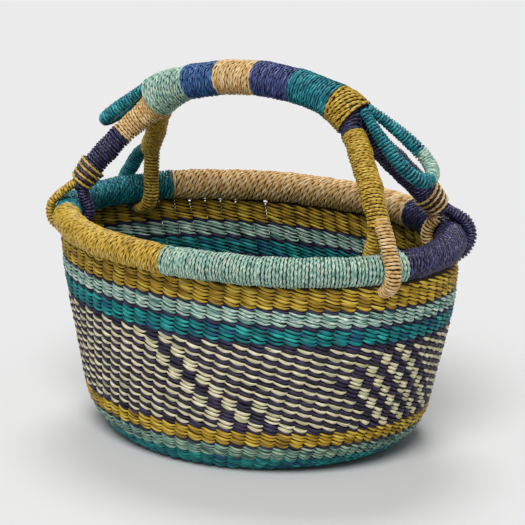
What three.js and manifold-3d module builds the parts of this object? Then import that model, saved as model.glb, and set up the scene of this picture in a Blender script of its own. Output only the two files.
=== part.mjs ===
// Market basket: an oval twined straw body, a thick wrapped rim and a fixed forked handle.
// Millimetres, +Z up. +X runs along the handle's span, and the origin is on the floor
// under the middle of the rim. "Front" is the -Y side, "left" is the -X end.
import * as THREE from 'three';
import { mergeVertices } from 'three/addons/utils/BufferGeometryUtils.js';
import Module from 'manifold-3d';

const wasm = await Module();
wasm.setup();

// Clearances between pieces that touch on the real basket
const seatGap = 0.3;

// Woven wall
const wallThickness = 5;
const baseLength = 224;
const baseWidth = 208;
const baseDiscMargin = 3;
const kneeHeight = 42;
const kneeLength = 320;
const kneeWidth = 255;
const wallTopLength = 373;
const wallTopWidth = 254;
const wallFlare = 0.235;
const shoulderBulge = 2.2;
const waistDip = 3;
const wallSegments = 44;

// Heights of the colour bands, from the floor up
const tealLowerHeight = 14.5;
const mintLowerHeight = 11;
const navyThinRowHeight = 2.4;
const oliveLowerHeight = 11.5;
const patternHeight = 72;
const navyRowHeight = 3.2;
const tealUpperHeight = 13;
const mintUpperHeight = 11.6;
const oliveUpperHeight = 18.4;

// Rim: a grass bundle wound with straw. Its middle line lies inside the wall's long ends
// and just outside its long sides. It is a little thicker along the back
const rimLengthInset = 18.6;
const rimWidthOutset = 3.4;
const rimLength = wallTopLength - rimLengthInset;
const rimWidth = wallTopWidth + rimWidthOutset;
const rimRadius = 12.4;
const rimBackSwell = 1.6;
const wrapThickness = 1.5;

// Rim colours: where each winding starts, in degrees round the oval from +X
const rimOliveStart = 211;
const rimMintStart = 271;
const rimMintEndStart = 339.3;
const rimNavyStart = 344;
const rimTanStart = 60;
const rimTealStart = 145.5;

// Grip: both grass bundles bound together over the top of the handle
const gripRise = 128;
const gripLeftX = -104;
const gripLeftDrop = 28.8;
const gripLeftSlope = 38;
const gripRightX = 100;
const gripRightDrop = 21.6;
const gripRightSlope = 40;
const gripRadius = 15;
const gripEndRadius = 18.5;
const gripEndLength = 42;
const gripLegDrop = 5;
const gripStepLength = 13;

// Grip colours: share of the grip's run where each winding ends, from the left
const gripMintEnd = 0.19;
const gripBlueEnd = 0.345;
const gripTanEnd = 0.53;
const gripNavyEnd = 0.71;
const gripTealEnd = 0.9;

// Legs: each grass bundle comes down from the grip to a fork above the rim. The fork's place
// is measured from the middle of the rim tube: how far inside it and how far above it. Skew is
// how far the fork and the loops run along the rim for each millimetre that they run outwards.
// Fans are the angles at which the two loops leave the leg, and pulls shape the leg's curve
const legStartRadius = 13.2;
const legTaperRun = 26;
const legHeadRun = 45;

const frontLeftFoot = 203.4;
const frontLeftSkew = 0;
const frontLeftInset = 9.5;
const frontLeftRise = 23;
const frontLeftTilt = 31;
const frontLeftHeadRadius = 10.4;
const frontLeftRadius = 10.4;
const frontLeftForkRadius = 8;
const frontLeftPull = 30;
const frontLeftForkPull = 30;
const frontLeftOuterFan = 26;
const frontLeftInnerFan = 24;
const frontLeftOuterHalfThickness = 3.6;

const frontRightFoot = 336;
const frontRightSkew = 0.12;
const frontRightInset = 5;
const frontRightRise = 35.6;
const frontRightTilt = 20;
const frontRightHeadRadius = 10.2;
const frontRightRadius = 10.2;
const frontRightForkRadius = 9.2;
const frontRightPull = 8;
const frontRightForkPull = 30;
const frontRightOuterFan = 16;
const frontRightInnerFan = 16;
const frontRightOuterHalfThickness = 4.9;

const backLeftFoot = 158.1;
const backLeftSkew = 0.28;
const backLeftInset = 17;
const backLeftRise = 38.5;
const backLeftTilt = 30;
const backLeftHeadRadius = 15;
const backLeftRadius = 9.6;
const backLeftForkRadius = 8.8;
const backLeftPull = 12;
const backLeftForkPull = 30;
const backLeftOuterFan = 32;
const backLeftInnerFan = 26;
const backLeftOuterHalfThickness = 4.9;

const backRightFoot = 31.4;
const backRightSkew = 0;
const backRightInset = 7;
const backRightRise = 21.8;
const backRightTilt = 27;
const backRightHeadRadius = 10.8;
const backRightRadius = 10.8;
const backRightForkRadius = 8.2;
const backRightPull = 24;
const backRightForkPull = 14;
const backRightOuterFan = 26;
const backRightInnerFan = 20;
const backRightOuterHalfThickness = 4.9;

// Leg colours: share of the leg's run where its upper winding ends
const legSteps = 9;
const frontLeftTanEnd = 0.42;
const frontRightCuffEnd = 0.14;

// Loops that pass round the rim, two from each leg
const loopHalfWidth = 6.6;
const loopHalfThickness = 4.9;
const loopStartOffset = 5.2;
const notchClearance = 0.4;

// Ears: hairpin loops that stick out of the grip's ends
const earRadius = 5.4;
const earRootRadius = 3.4;
const earRootSpread = 7.4;
const earRootRise = 13.6;
const earLeftLength = 60;
const earLeftDive = 37.8;
const earLeftYaw = 5.9;
const earLeftRoll = -6.5;
const earLeftSpread = 34;
const earLeftBend = 0.38;
const earLeftBelly = 1.95;
const earRightLength = 83.3;
const earRightDive = 44.6;
const earRightYaw = 17.1;
const earRightRoll = 0;
const earRightSpread = 35.5;
const earRightBend = 0.12;
const earRightBelly = 1.97;
const earSteps = 22;
const earSides = 8;
const earMintStart = 0.5;
const earMintEnd = 0.68;

// Bindings: straw wound over the leg ends
const bindingStrandRadius = 1.4;
const bindingTurns = 4;
const bindingPitch = 5.2;
const bindingEndMargin = 2.5;
const bindingLift = 0.6;
const windingSteps = 24;
const windingSides = 6;

const colours = {
  olive: 0xb39a24,
  mint: 0x8fc3ae,
  teal: 0x0f8f8f,
  navy: 0x2b2b52,
  blue: 0x27407c,
  tan: 0xd3b27c,
  cream: 0xd8d2a2,
  grass: 0xbfa877,
};

const fullCircle = 360;
const basket = new THREE.Group();
const up = new THREE.Vector3(0, 0, 1);
const across = new THREE.Vector3(0, 1, 0);

function vec(x, y, z) {
  return new THREE.Vector3(x, y, z);
}

function mix(a, b, t) {
  return a + (b - a) * t;
}

function smooth(t) {
  return t * t * (3 - 2 * t);
}

function radians(degrees) {
  return (degrees * Math.PI) / 180;
}

function addPiece(name, geometry, colour, roughness = 0.8) {
  const material = new THREE.MeshStandardMaterial({
    color: colours[colour],
    roughness,
    metalness: 0,
  });
  const mesh = new THREE.Mesh(geometry, material);
  mesh.name = name;
  basket.add(mesh);
  return mesh;
}

// A closed body from points and triangles, turned so that its faces point out
function solid(points, triangles) {
  let volume = 0;
  const cross = vec(0, 0, 0);
  for (let i = 0; i < triangles.length; i += 3) {
    const a = points[triangles[i]];
    const b = points[triangles[i + 1]];
    const c = points[triangles[i + 2]];
    volume += a.dot(cross.crossVectors(b, c));
  }
  const order = volume < 0 ? [0, 2, 1] : [0, 1, 2];
  const index = [];
  for (let i = 0; i < triangles.length; i += 3) {
    for (const k of order) index.push(triangles[i + k]);
  }
  const geometry = new THREE.BufferGeometry();
  geometry.setAttribute('position', new THREE.Float32BufferAttribute(points.flatMap((p) => p.toArray()), 3));
  geometry.setIndex(index);
  geometry.computeVertexNormals();
  return geometry;
}

// Rings of equal length joined in order: a closed loop of rings, or a run with flat ends
function loft(rings, closed = false) {
  const sides = rings[0].length;
  const points = rings.flat();
  const triangles = [];
  const spans = closed ? rings.length : rings.length - 1;
  for (let i = 0; i < spans; i += 1) {
    const here = i * sides;
    const next = ((i + 1) % rings.length) * sides;
    for (let k = 0; k < sides; k += 1) {
      const l = (k + 1) % sides;
      triangles.push(here + k, here + l, next + l, here + k, next + l, next + k);
    }
  }
  if (!closed) {
    const last = (rings.length - 1) * sides;
    for (let k = 1; k < sides - 1; k += 1) {
      triangles.push(0, k + 1, k, last, last + k, last + k + 1);
    }
  }
  return solid(points, triangles);
}

// A sleeve: an outer and an inner run of rings joined by flat ends
function sleeve(outerRings, innerRings) {
  const sides = outerRings[0].length;
  const count = outerRings.length;
  const points = [...outerRings.flat(), ...innerRings.flat()];
  const inner = count * sides;
  const triangles = [];
  for (let i = 0; i < count - 1; i += 1) {
    const here = i * sides;
    const next = here + sides;
    for (let k = 0; k < sides; k += 1) {
      const l = (k + 1) % sides;
      triangles.push(here + k, here + l, next + l, here + k, next + l, next + k);
      triangles.push(inner + here + k, inner + next + l, inner + here + l);
      triangles.push(inner + here + k, inner + next + k, inner + next + l);
    }
  }
  const last = (count - 1) * sides;
  for (let k = 0; k < sides; k += 1) {
    const l = (k + 1) % sides;
    triangles.push(k, inner + k, inner + l, k, inner + l, l);
    triangles.push(last + k, inner + last + l, inner + last + k, last + k, last + l, inner + last + l);
  }
  return solid(points, triangles);
}

function toManifold(geometry) {
  const bare = geometry.clone();
  bare.deleteAttribute('normal');
  bare.deleteAttribute('uv');
  const merged = mergeVertices(bare, 1e-4);
  return new wasm.Manifold(new wasm.Mesh({
    numProp: 3,
    vertProperties: new Float32Array(merged.attributes.position.array),
    triVerts: new Uint32Array(merged.index.array),
  }));
}

function fromManifold(manifold) {
  const mesh = manifold.getMesh();
  const geometry = new THREE.BufferGeometry();
  geometry.setAttribute('position', new THREE.BufferAttribute(new Float32Array(mesh.vertProperties), 3));
  geometry.setIndex(new THREE.BufferAttribute(new Uint32Array(mesh.triVerts), 1));
  geometry.computeVertexNormals();
  return geometry;
}

// Wall outline: half length or half width against height, as two joined curves

const wallHeight =
  tealLowerHeight + mintLowerHeight + navyThinRowHeight + oliveLowerHeight + navyThinRowHeight +
  patternHeight + navyRowHeight + tealUpperHeight + navyRowHeight + mintUpperHeight +
  navyThinRowHeight + oliveUpperHeight;

function wallCurves(baseHalf, kneeHalf, topHalf, flare, bulge) {
  const corner = kneeHalf - baseHalf;
  const rise = wallHeight - kneeHeight;
  const foot = new THREE.CubicBezierCurve(
    new THREE.Vector2(baseHalf, 0),
    new THREE.Vector2(baseHalf + corner * 0.46, 0),
    new THREE.Vector2(kneeHalf - flare * kneeHeight * 0.6, kneeHeight * 0.4),
    new THREE.Vector2(kneeHalf, kneeHeight),
  );
  const side = new THREE.CubicBezierCurve(
    new THREE.Vector2(kneeHalf, kneeHeight),
    new THREE.Vector2(kneeHalf + flare * rise * 0.37, kneeHeight + rise * 0.37),
    new THREE.Vector2(topHalf + bulge, kneeHeight + rise * 0.68),
    new THREE.Vector2(topHalf, wallHeight),
  );
  const outer = [...foot.getPoints(24), ...side.getPoints(40).slice(1)];
  const inner = outer.map((point, i) => {
    const before = outer[Math.max(i - 1, 0)];
    const after = outer[Math.min(i + 1, outer.length - 1)];
    const run = after.clone().sub(before).normalize();
    return new THREE.Vector2(point.x - run.y * wallThickness, point.y + run.x * wallThickness);
  });
  return { outer, inner };
}

function reachAt(curve, height) {
  const found = curve.findIndex((point) => point.y >= height);
  const i = found < 0 ? curve.length - 1 : Math.max(1, found);
  const low = curve[i - 1];
  const high = curve[i];
  return mix(low.x, high.x, (height - low.y) / (high.y - low.y));
}

const lengthCurves = wallCurves(baseLength / 2, kneeLength / 2, wallTopLength / 2, wallFlare, shoulderBulge);
const widthCurves = wallCurves(baseWidth / 2, kneeWidth / 2, wallTopWidth / 2, 0, -waistDip);

function ovalPoint(halfLength, halfWidth, angle, height) {
  return vec(halfLength * Math.cos(angle), halfWidth * Math.sin(angle), height);
}

// A band of the wall between two heights, as a closed ring round the oval
function wallBand(low, high, steps) {
  const profile = [];
  for (let i = 0; i <= steps; i += 1) {
    const height = mix(low, high, i / steps);
    profile.push([reachAt(lengthCurves.outer, height), reachAt(widthCurves.outer, height), height]);
  }
  for (let i = steps; i >= 0; i -= 1) {
    const height = mix(low, high, i / steps);
    profile.push([reachAt(lengthCurves.inner, height), reachAt(widthCurves.inner, height), height]);
  }
  return ringOf(profile);
}

function ringOf(profile) {
  const rings = [];
  for (let i = 0; i < wallSegments; i += 1) {
    const angle = (2 * Math.PI * i) / wallSegments;
    rings.push(profile.map(([a, b, z]) => ovalPoint(a, b, angle, z)));
  }
  return loft(rings, true);
}

// Woven base: a flat oval start, and the first teal rows that turn up into the wall

const discHalfLength = baseLength / 2 - baseDiscMargin;
const discHalfWidth = baseWidth / 2 - baseDiscMargin;
const discShape = new THREE.Shape();
discShape.absellipse(0, 0, discHalfLength, discHalfWidth, 0, 2 * Math.PI);
const discGeometry = new THREE.ExtrudeGeometry(discShape, {
  depth: wallThickness,
  bevelEnabled: false,
  curveSegments: wallSegments / 2,
});
addPiece('base_disc', discGeometry, 'teal');

function lowerTurn() {
  const profile = [];
  const steps = 3;
  const top = tealLowerHeight - seatGap / 2;
  const discEdge = discHalfLength + seatGap;
  const discSide = discHalfWidth + seatGap;
  profile.push([discEdge, discSide, 0]);
  profile.push([baseLength / 2, baseWidth / 2, 0]);
  for (let i = 1; i <= steps; i += 1) {
    const height = top * (i / steps) ** 1.6;
    profile.push([reachAt(lengthCurves.outer, height), reachAt(widthCurves.outer, height), height]);
  }
  for (let i = steps; i >= 1; i -= 1) {
    const height = mix(wallThickness, top, (i / steps) ** 1.6);
    profile.push([reachAt(lengthCurves.inner, height), reachAt(widthCurves.inner, height), height]);
  }
  profile.push([discEdge, discSide, wallThickness]);
  return ringOf(profile);
}
addPiece('weft_teal_lower', lowerTurn(), 'teal');

// Bands stacked from the teal turn up to the rim

const bands = [
  { name: 'weft_mint_lower', colour: 'mint', height: mintLowerHeight, steps: 2 },
  { name: 'weft_navy_row_1', colour: 'navy', height: navyThinRowHeight, steps: 1 },
  { name: 'weft_olive_lower', colour: 'olive', height: oliveLowerHeight, steps: 1 },
  { name: 'weft_navy_row_2', colour: 'navy', height: navyThinRowHeight, steps: 1 },
  { name: 'weft_pattern_band', colour: 'cream', height: patternHeight, steps: 2 },
  { name: 'weft_navy_row_3', colour: 'navy', height: navyRowHeight, steps: 1 },
  { name: 'weft_teal_upper', colour: 'teal', height: tealUpperHeight, steps: 1 },
  { name: 'weft_navy_row_4', colour: 'navy', height: navyRowHeight, steps: 1 },
  { name: 'weft_mint_upper', colour: 'mint', height: mintUpperHeight, steps: 1 },
  { name: 'weft_navy_row_5', colour: 'navy', height: navyThinRowHeight, steps: 1 },
];
let bandFoot = tealLowerHeight;
for (const band of bands) {
  const low = bandFoot + seatGap / 2;
  const high = bandFoot + band.height - seatGap / 2;
  addPiece(band.name, wallBand(low, high, band.steps), band.colour);
  bandFoot += band.height;
}

// Rim: oval path that rests on the wall, and the frame across it at an angle

function rimRadiusAt(angle) {
  return rimRadius + rimBackSwell * ((1 + Math.sin(angle)) / 2) ** 2;
}

function rimPoint(angle) {
  return ovalPoint(rimLength / 2, rimWidth / 2, angle, wallHeight + seatGap + rimRadiusAt(angle));
}

function rimOutward(angle) {
  return vec(Math.cos(angle) / rimLength, Math.sin(angle) / rimWidth, 0).normalize();
}

function rimRing(angle, depth, sides) {
  const centre = rimPoint(angle);
  const radius = rimRadiusAt(angle) - depth;
  const outward = rimOutward(angle);
  const ring = [];
  for (let k = 0; k < sides; k += 1) {
    const turn = (2 * Math.PI * (k + 0.5)) / sides;
    const out = centre.clone().addScaledVector(outward, radius * Math.cos(turn));
    ring.push(out.addScaledVector(up, radius * Math.sin(turn)));
  }
  return ring;
}

const rimSides = 10;
const rimWraps = [
  { name: 'rim_wrap_olive', colour: 'olive', start: rimOliveStart, end: rimMintStart, steps: 8 },
  { name: 'rim_wrap_mint', colour: 'mint', start: rimMintStart, end: rimMintEndStart, steps: 10 },
  { name: 'rim_wrap_mint_end', colour: 'mint', start: rimMintEndStart, end: rimNavyStart, steps: 1 },
  { name: 'rim_wrap_navy', colour: 'navy', start: rimNavyStart, end: rimTanStart + fullCircle, steps: 12 },
  { name: 'rim_wrap_tan', colour: 'tan', start: rimTanStart, end: rimTealStart, steps: 12 },
  { name: 'rim_wrap_teal', colour: 'teal', start: rimTealStart, end: rimOliveStart, steps: 13 },
];

// The core bends at the same angles as the windings round it
const rimStations = [];
for (const wrap of rimWraps) {
  const trim = seatGap / (rimLength + rimWidth) * 2;
  const outer = [];
  const inner = [];
  for (let i = 0; i <= wrap.steps; i += 1) {
    const angle = mix(radians(wrap.start), radians(wrap.end), i / wrap.steps);
    if (i < wrap.steps) rimStations.push(angle);
    const held = Math.min(Math.max(angle, radians(wrap.start) + trim), radians(wrap.end) - trim);
    outer.push(rimRing(held, 0, rimSides));
    inner.push(rimRing(held, wrapThickness, rimSides));
  }
  addPiece(wrap.name, sleeve(outer, inner), wrap.colour);
}
const rimCoreRings = rimStations.map((angle) => rimRing(angle, wrapThickness + seatGap, rimSides));
addPiece('rim_core', loft(rimCoreRings, true), 'grass', 0.9);

// The straight piece of rim that a loop sits on: its point, radius, run and the way out
function rimSeat(angle) {
  const fullTurn = radians(fullCircle);
  const back = rimStations.map((station) => (angle - station + 2 * fullTurn) % fullTurn);
  const i = back.indexOf(Math.min(...back));
  const start = rimStations[i];
  const end = rimStations[(i + 1) % rimStations.length];
  const span = (end - start + fullTurn) % fullTurn;
  const share = back[i] / span;
  const low = rimPoint(start);
  const high = rimPoint(end);
  const radius = mix(rimRadiusAt(start), rimRadiusAt(end), share);
  const tangent = high.clone().sub(low).setZ(0).normalize();
  return { point: low.lerp(high, share), radius, tangent, outward: tangent.clone().cross(up) };
}

// Grip path: one curve over the top in the plane y = 0

const gripTop = wallHeight + seatGap + rimRadius + gripRise;
const gripLeft = vec(gripLeftX, 0, gripTop - gripLeftDrop);
const gripRight = vec(gripRightX, 0, gripTop - gripRightDrop);
const leftRun = vec(Math.cos(radians(gripLeftSlope)), 0, Math.sin(radians(gripLeftSlope)));
const rightRun = vec(Math.cos(radians(gripRightSlope)), 0, -Math.sin(radians(gripRightSlope)));
const pull = (8 * gripTop - 4 * (gripLeft.z + gripRight.z)) / (3 * (leftRun.z - rightRun.z));
const gripCurve = new THREE.CubicBezierCurve3(
  gripLeft,
  gripLeft.clone().addScaledVector(leftRun, pull),
  gripRight.clone().addScaledVector(rightRun, -pull),
  gripRight,
);

// A frame on a path: run along it from left to right, side level across it, rise square to both
function frameAt(point, run) {
  const side = across.clone().addScaledVector(run, -across.dot(run)).normalize();
  const rise = run.clone().cross(side).normalize();
  return { point, run, side, rise };
}

function place(frame, [s, r]) {
  return frame.point.clone().addScaledVector(frame.side, s).addScaledVector(frame.rise, r);
}

const gripSides = 12;
const halfCentroid = 4 / (3 * Math.PI);

function roundSection(radiusSide, radiusRise, sides) {
  const section = [];
  for (let k = 0; k < sides; k += 1) {
    const turn = (2 * Math.PI * (k + 0.5)) / sides;
    section.push([radiusSide * Math.cos(turn), radiusRise * Math.sin(turn)]);
  }
  return section;
}

// Half of a round bundle, from the top of its arc down and back up its flat
function halfSection(radius, flat) {
  const section = [];
  const corner = radius * Math.cos(Math.PI / gripSides);
  for (let k = 0; k < gripSides / 2; k += 1) {
    const turn = Math.PI / 2 - (2 * Math.PI * (k + 0.5)) / gripSides;
    section.push([radius * Math.cos(turn), radius * Math.sin(turn)]);
  }
  for (const share of [-1, -1 / 3, 1 / 3, 1]) section.push([flat, corner * share]);
  return section;
}

// A round section with as many points as a half section, for a smooth change of form
function bundleSection(radius) {
  const sides = gripSides / 2 + 4;
  const section = [];
  for (let k = 0; k < sides; k += 1) {
    const turn = Math.PI / 2 - (2 * Math.PI * k) / sides;
    section.push([radius * Math.cos(turn), radius * Math.sin(turn)]);
  }
  return section;
}

// Grip wraps over both bundles

const gripLength = gripCurve.getLength();

function gripRadiusAt(share) {
  const toEnd = Math.min(share, 1 - share) * gripLength;
  const flare = Math.max(0, 1 - toEnd / gripEndLength);
  return mix(gripRadius, gripEndRadius, smooth(flare));
}

function gripFrame(share) {
  return frameAt(gripCurve.getPointAt(share), gripCurve.getTangentAt(share));
}

function gripRing(share, depth) {
  const radius = gripRadiusAt(share) - depth;
  const frame = gripFrame(share);
  return roundSection(radius, radius, gripSides).map((p) => place(frame, p));
}

const gripWraps = [
  { name: 'grip_wrap_mint', colour: 'mint', start: 0, end: gripMintEnd },
  { name: 'grip_wrap_blue', colour: 'blue', start: gripMintEnd, end: gripBlueEnd },
  { name: 'grip_wrap_tan', colour: 'tan', start: gripBlueEnd, end: gripTanEnd },
  { name: 'grip_wrap_navy', colour: 'navy', start: gripTanEnd, end: gripNavyEnd },
  { name: 'grip_wrap_teal', colour: 'teal', start: gripNavyEnd, end: gripTealEnd },
  { name: 'grip_wrap_olive', colour: 'olive', start: gripTealEnd, end: 1 },
];
const gripStations = [];
for (const wrap of gripWraps) {
  const steps = Math.max(2, Math.round(((wrap.end - wrap.start) * gripLength) / gripStepLength));
  const trim = seatGap / 2 / gripLength;
  const outer = [];
  const inner = [];
  for (let i = 0; i <= steps; i += 1) {
    const share = mix(wrap.start, wrap.end, i / steps);
    if (i < steps) gripStations.push(share);
    const held = Math.min(Math.max(share, wrap.start + trim), wrap.end - trim);
    outer.push(gripRing(held, 0));
    inner.push(gripRing(held, wrapThickness));
  }
  addPiece(wrap.name, sleeve(outer, inner), wrap.colour);
}
gripStations.push(1);

// Leg paths, from the grip's end to the fork above the rim

const frontLeft = {
  arch: -1,
  end: -1,
  foot: frontLeftFoot,
  skew: frontLeftSkew,
  inset: frontLeftInset,
  rise: frontLeftRise,
  tilt: frontLeftTilt,
  headRadius: frontLeftHeadRadius,
  radius: frontLeftRadius,
  forkRadius: frontLeftForkRadius,
  pull: frontLeftPull,
  forkPull: frontLeftForkPull,
  outerFan: frontLeftOuterFan,
  innerFan: frontLeftInnerFan,
  outerHalfThickness: frontLeftOuterHalfThickness,
};
const frontRight = {
  arch: -1,
  end: 1,
  foot: frontRightFoot,
  skew: frontRightSkew,
  inset: frontRightInset,
  rise: frontRightRise,
  tilt: frontRightTilt,
  headRadius: frontRightHeadRadius,
  radius: frontRightRadius,
  forkRadius: frontRightForkRadius,
  pull: frontRightPull,
  forkPull: frontRightForkPull,
  outerFan: frontRightOuterFan,
  innerFan: frontRightInnerFan,
  outerHalfThickness: frontRightOuterHalfThickness,
};
const backLeft = {
  arch: 1,
  end: -1,
  foot: backLeftFoot,
  skew: backLeftSkew,
  inset: backLeftInset,
  rise: backLeftRise,
  tilt: backLeftTilt,
  headRadius: backLeftHeadRadius,
  radius: backLeftRadius,
  forkRadius: backLeftForkRadius,
  pull: backLeftPull,
  forkPull: backLeftForkPull,
  outerFan: backLeftOuterFan,
  innerFan: backLeftInnerFan,
  outerHalfThickness: backLeftOuterHalfThickness,
};
const backRight = {
  arch: 1,
  end: 1,
  foot: backRightFoot,
  skew: backRightSkew,
  inset: backRightInset,
  rise: backRightRise,
  tilt: backRightTilt,
  headRadius: backRightHeadRadius,
  radius: backRightRadius,
  forkRadius: backRightForkRadius,
  pull: backRightPull,
  forkPull: backRightForkPull,
  outerFan: backRightOuterFan,
  innerFan: backRightInnerFan,
  outerHalfThickness: backRightOuterHalfThickness,
};
const legs = [frontLeft, frontRight, backLeft, backRight];

const startOffset = legStartRadius * halfCentroid;
for (const leg of legs) {
  leg.seat = rimSeat(radians(leg.foot));
  leg.seat.outward.addScaledVector(leg.seat.tangent, leg.skew);
  const { point, outward } = leg.seat;
  const tilt = radians(leg.tilt);
  const arrival = outward.clone().multiplyScalar(Math.sin(tilt)).addScaledVector(up, -Math.cos(tilt));
  const fork = point.clone().addScaledVector(outward, -leg.inset).addScaledVector(up, leg.rise);
  const gripEnd = gripFrame(leg.end < 0 ? 0 : 1);
  const start = place(gripEnd, [leg.arch * startOffset, -gripLegDrop]);
  leg.curve = new THREE.CubicBezierCurve3(
    start,
    start.clone().addScaledVector(gripEnd.run, leg.end * leg.pull),
    fork.clone().addScaledVector(arrival, -leg.forkPull),
    fork,
  );
  leg.length = leg.curve.getLength();
}

function legFrame(leg, share) {
  const run = leg.curve.getTangentAt(share).multiplyScalar(leg.end);
  return frameAt(leg.curve.getPointAt(share), run);
}

function legRadiusAt(leg, share) {
  const head = Math.max(0, 1 - (share * leg.length) / legHeadRun);
  const fork = Math.max(0, 1 - ((1 - share) * leg.length) / legTaperRun);
  return leg.radius + (leg.headRadius - leg.radius) * head ** 2 + (leg.forkRadius - leg.radius) * smooth(fork);
}

// Half round where the legs part, and round further down. Depth is how far inside the wrap it lies
function legRing(leg, share, depth) {
  const frame = legFrame(leg, share);
  const radius = legRadiusAt(leg, share);
  const opening = (Math.abs(frame.point.y) - startOffset) / (radius + seatGap / 2 - startOffset);
  const roundness = Math.min(1, Math.max(0, opening));
  const half = halfSection(legStartRadius - depth, seatGap / 2 + depth);
  const round = bundleSection(radius - depth);
  return half.map(([s, r], k) => {
    const side = mix(s - startOffset, round[k][0], roundness);
    const rise = mix(r, round[k][1], roundness);
    return place(frame, [leg.arch * side, rise]);
  });
}

// Stations down a leg, with one at the share where its winding changes colour
function legStations(cut) {
  const above = Math.round(legSteps * cut);
  const stations = [];
  for (let i = 0; i < above; i += 1) stations.push((cut * i) / above);
  for (let i = 0; i <= legSteps - above; i += 1) stations.push(mix(cut, 1, i / (legSteps - above)));
  return stations;
}

function legWrap(leg, from, to) {
  const trim = seatGap / 2 / leg.length;
  const outer = [];
  const inner = [];
  for (const share of leg.stations.filter((station) => station >= from && station <= to)) {
    const held = share < 1 ? Math.min(Math.max(share, from + trim), to - trim) : 1;
    outer.push(legRing(leg, held, 0));
    inner.push(legRing(leg, held, wrapThickness));
  }
  if (leg.end > 0) return sleeve(outer, inner);
  return sleeve(outer.reverse(), inner.reverse());
}

frontLeft.stations = legStations(frontLeftTanEnd);
frontRight.stations = legStations(frontRightCuffEnd);
backLeft.stations = legStations(0);
backRight.stations = legStations(0);
addPiece('leg_wrap_front_left_tan', legWrap(frontLeft, 0, frontLeftTanEnd), 'tan');
addPiece('leg_wrap_front_left_navy', legWrap(frontLeft, frontLeftTanEnd, 1), 'navy');
addPiece('leg_cuff_front_right_navy', legWrap(frontRight, 0, frontRightCuffEnd), 'navy');
addPiece('leg_wrap_front_right_olive', legWrap(frontRight, frontRightCuffEnd, 1), 'olive');
addPiece('leg_wrap_back_left_olive', legWrap(backLeft, 0, 1), 'olive');
addPiece('leg_wrap_back_right_navy', legWrap(backRight, 0, 1), 'navy');

// Grass bundles: one from foot to foot on each side, pressed half round inside the grip

const coreDepth = wrapThickness + seatGap;

function gripCoreRing(share, arch) {
  const frame = gripFrame(share);
  const toEnd = Math.min(share, 1 - share) * gripLength;
  const settled = Math.min(1, toEnd / gripStepLength);
  const inGrip = halfSection(gripRadius - coreDepth, seatGap / 2);
  const atLeg = halfSection(legStartRadius - coreDepth, seatGap / 2 + coreDepth);
  return inGrip.map(([s, r], k) => {
    const side = mix(atLeg[k][0], s, settled);
    const rise = mix(atLeg[k][1] - gripLegDrop, r, settled);
    return place(frame, [arch * side, rise]);
  });
}

function bundleCore(left, right) {
  const leftRings = left.stations.slice(1).map((share) => legRing(left, share, coreDepth));
  const gripRings = gripStations.map((share) => gripCoreRing(share, left.arch));
  const rightRings = right.stations.slice(1).map((share) => legRing(right, share, coreDepth));
  return loft([...leftRings.reverse(), ...gripRings, ...rightRings]);
}
addPiece('handle_core_front', bundleCore(frontLeft, frontRight), 'grass', 0.9);
addPiece('handle_core_back', bundleCore(backLeft, backRight), 'grass', 0.9);

// Loops: from each fork, one strand outside the rim and one inside, meeting under it

const loopSides = 8;
const loopBendAngle = 15;
const loopLeadSteps = 5;

// Path in the plane across the rim, x outwards and y upwards from the middle of the tube
function loopPath(leg, side, halfThickness) {
  const loopRadius = leg.seat.radius + seatGap + halfThickness;
  const tilt = radians(leg.tilt);
  const fan = radians(side > 0 ? leg.outerFan : leg.innerFan);
  const fanned = tilt + side * fan;
  const heading = new THREE.Vector2(Math.sin(fanned), -Math.cos(fanned));
  const start = new THREE.Vector2(-leg.inset, leg.rise);
  const drop = seatGap + halfThickness * Math.sin(fan) + loopHalfWidth * leg.skew * Math.sin(tilt);
  start.x += drop * Math.sin(tilt) + side * loopStartOffset * Math.cos(tilt);
  start.y += side * loopStartOffset * Math.sin(tilt) - drop * Math.cos(tilt);
  const reach = start.length();
  const touch = Math.atan2(start.y, start.x) - side * Math.acos(loopRadius / reach);
  const touchPoint = new THREE.Vector2(loopRadius * Math.cos(touch), loopRadius * Math.sin(touch));
  const touchRun = new THREE.Vector2(Math.sin(touch), -Math.cos(touch)).multiplyScalar(side);
  const pull = start.distanceTo(touchPoint) * 0.36;
  const lead = new THREE.CubicBezierCurve(
    start,
    start.clone().addScaledVector(heading, pull),
    touchPoint.clone().addScaledVector(touchRun, -pull),
    touchPoint,
  );
  const path = [];
  for (let i = 0; i <= loopLeadSteps; i += 1) {
    const t = i / loopLeadSteps;
    path.push({ at: lead.getPoint(t), run: lead.getTangent(t) });
  }
  const halfTurn = side > 0 ? -Math.PI / 2 : 1.5 * Math.PI;
  const end = halfTurn + side * (seatGap / 2 / loopRadius);
  const steps = Math.round(Math.abs(end - touch) / radians(loopBendAngle));
  for (let i = 1; i <= steps; i += 1) {
    const turn = mix(touch, end, i / steps);
    const at = new THREE.Vector2(Math.cos(turn), Math.sin(turn)).multiplyScalar(loopRadius);
    path.push({ at, run: new THREE.Vector2(Math.sin(turn), -Math.cos(turn)).multiplyScalar(side) });
  }
  return path;
}

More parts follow.
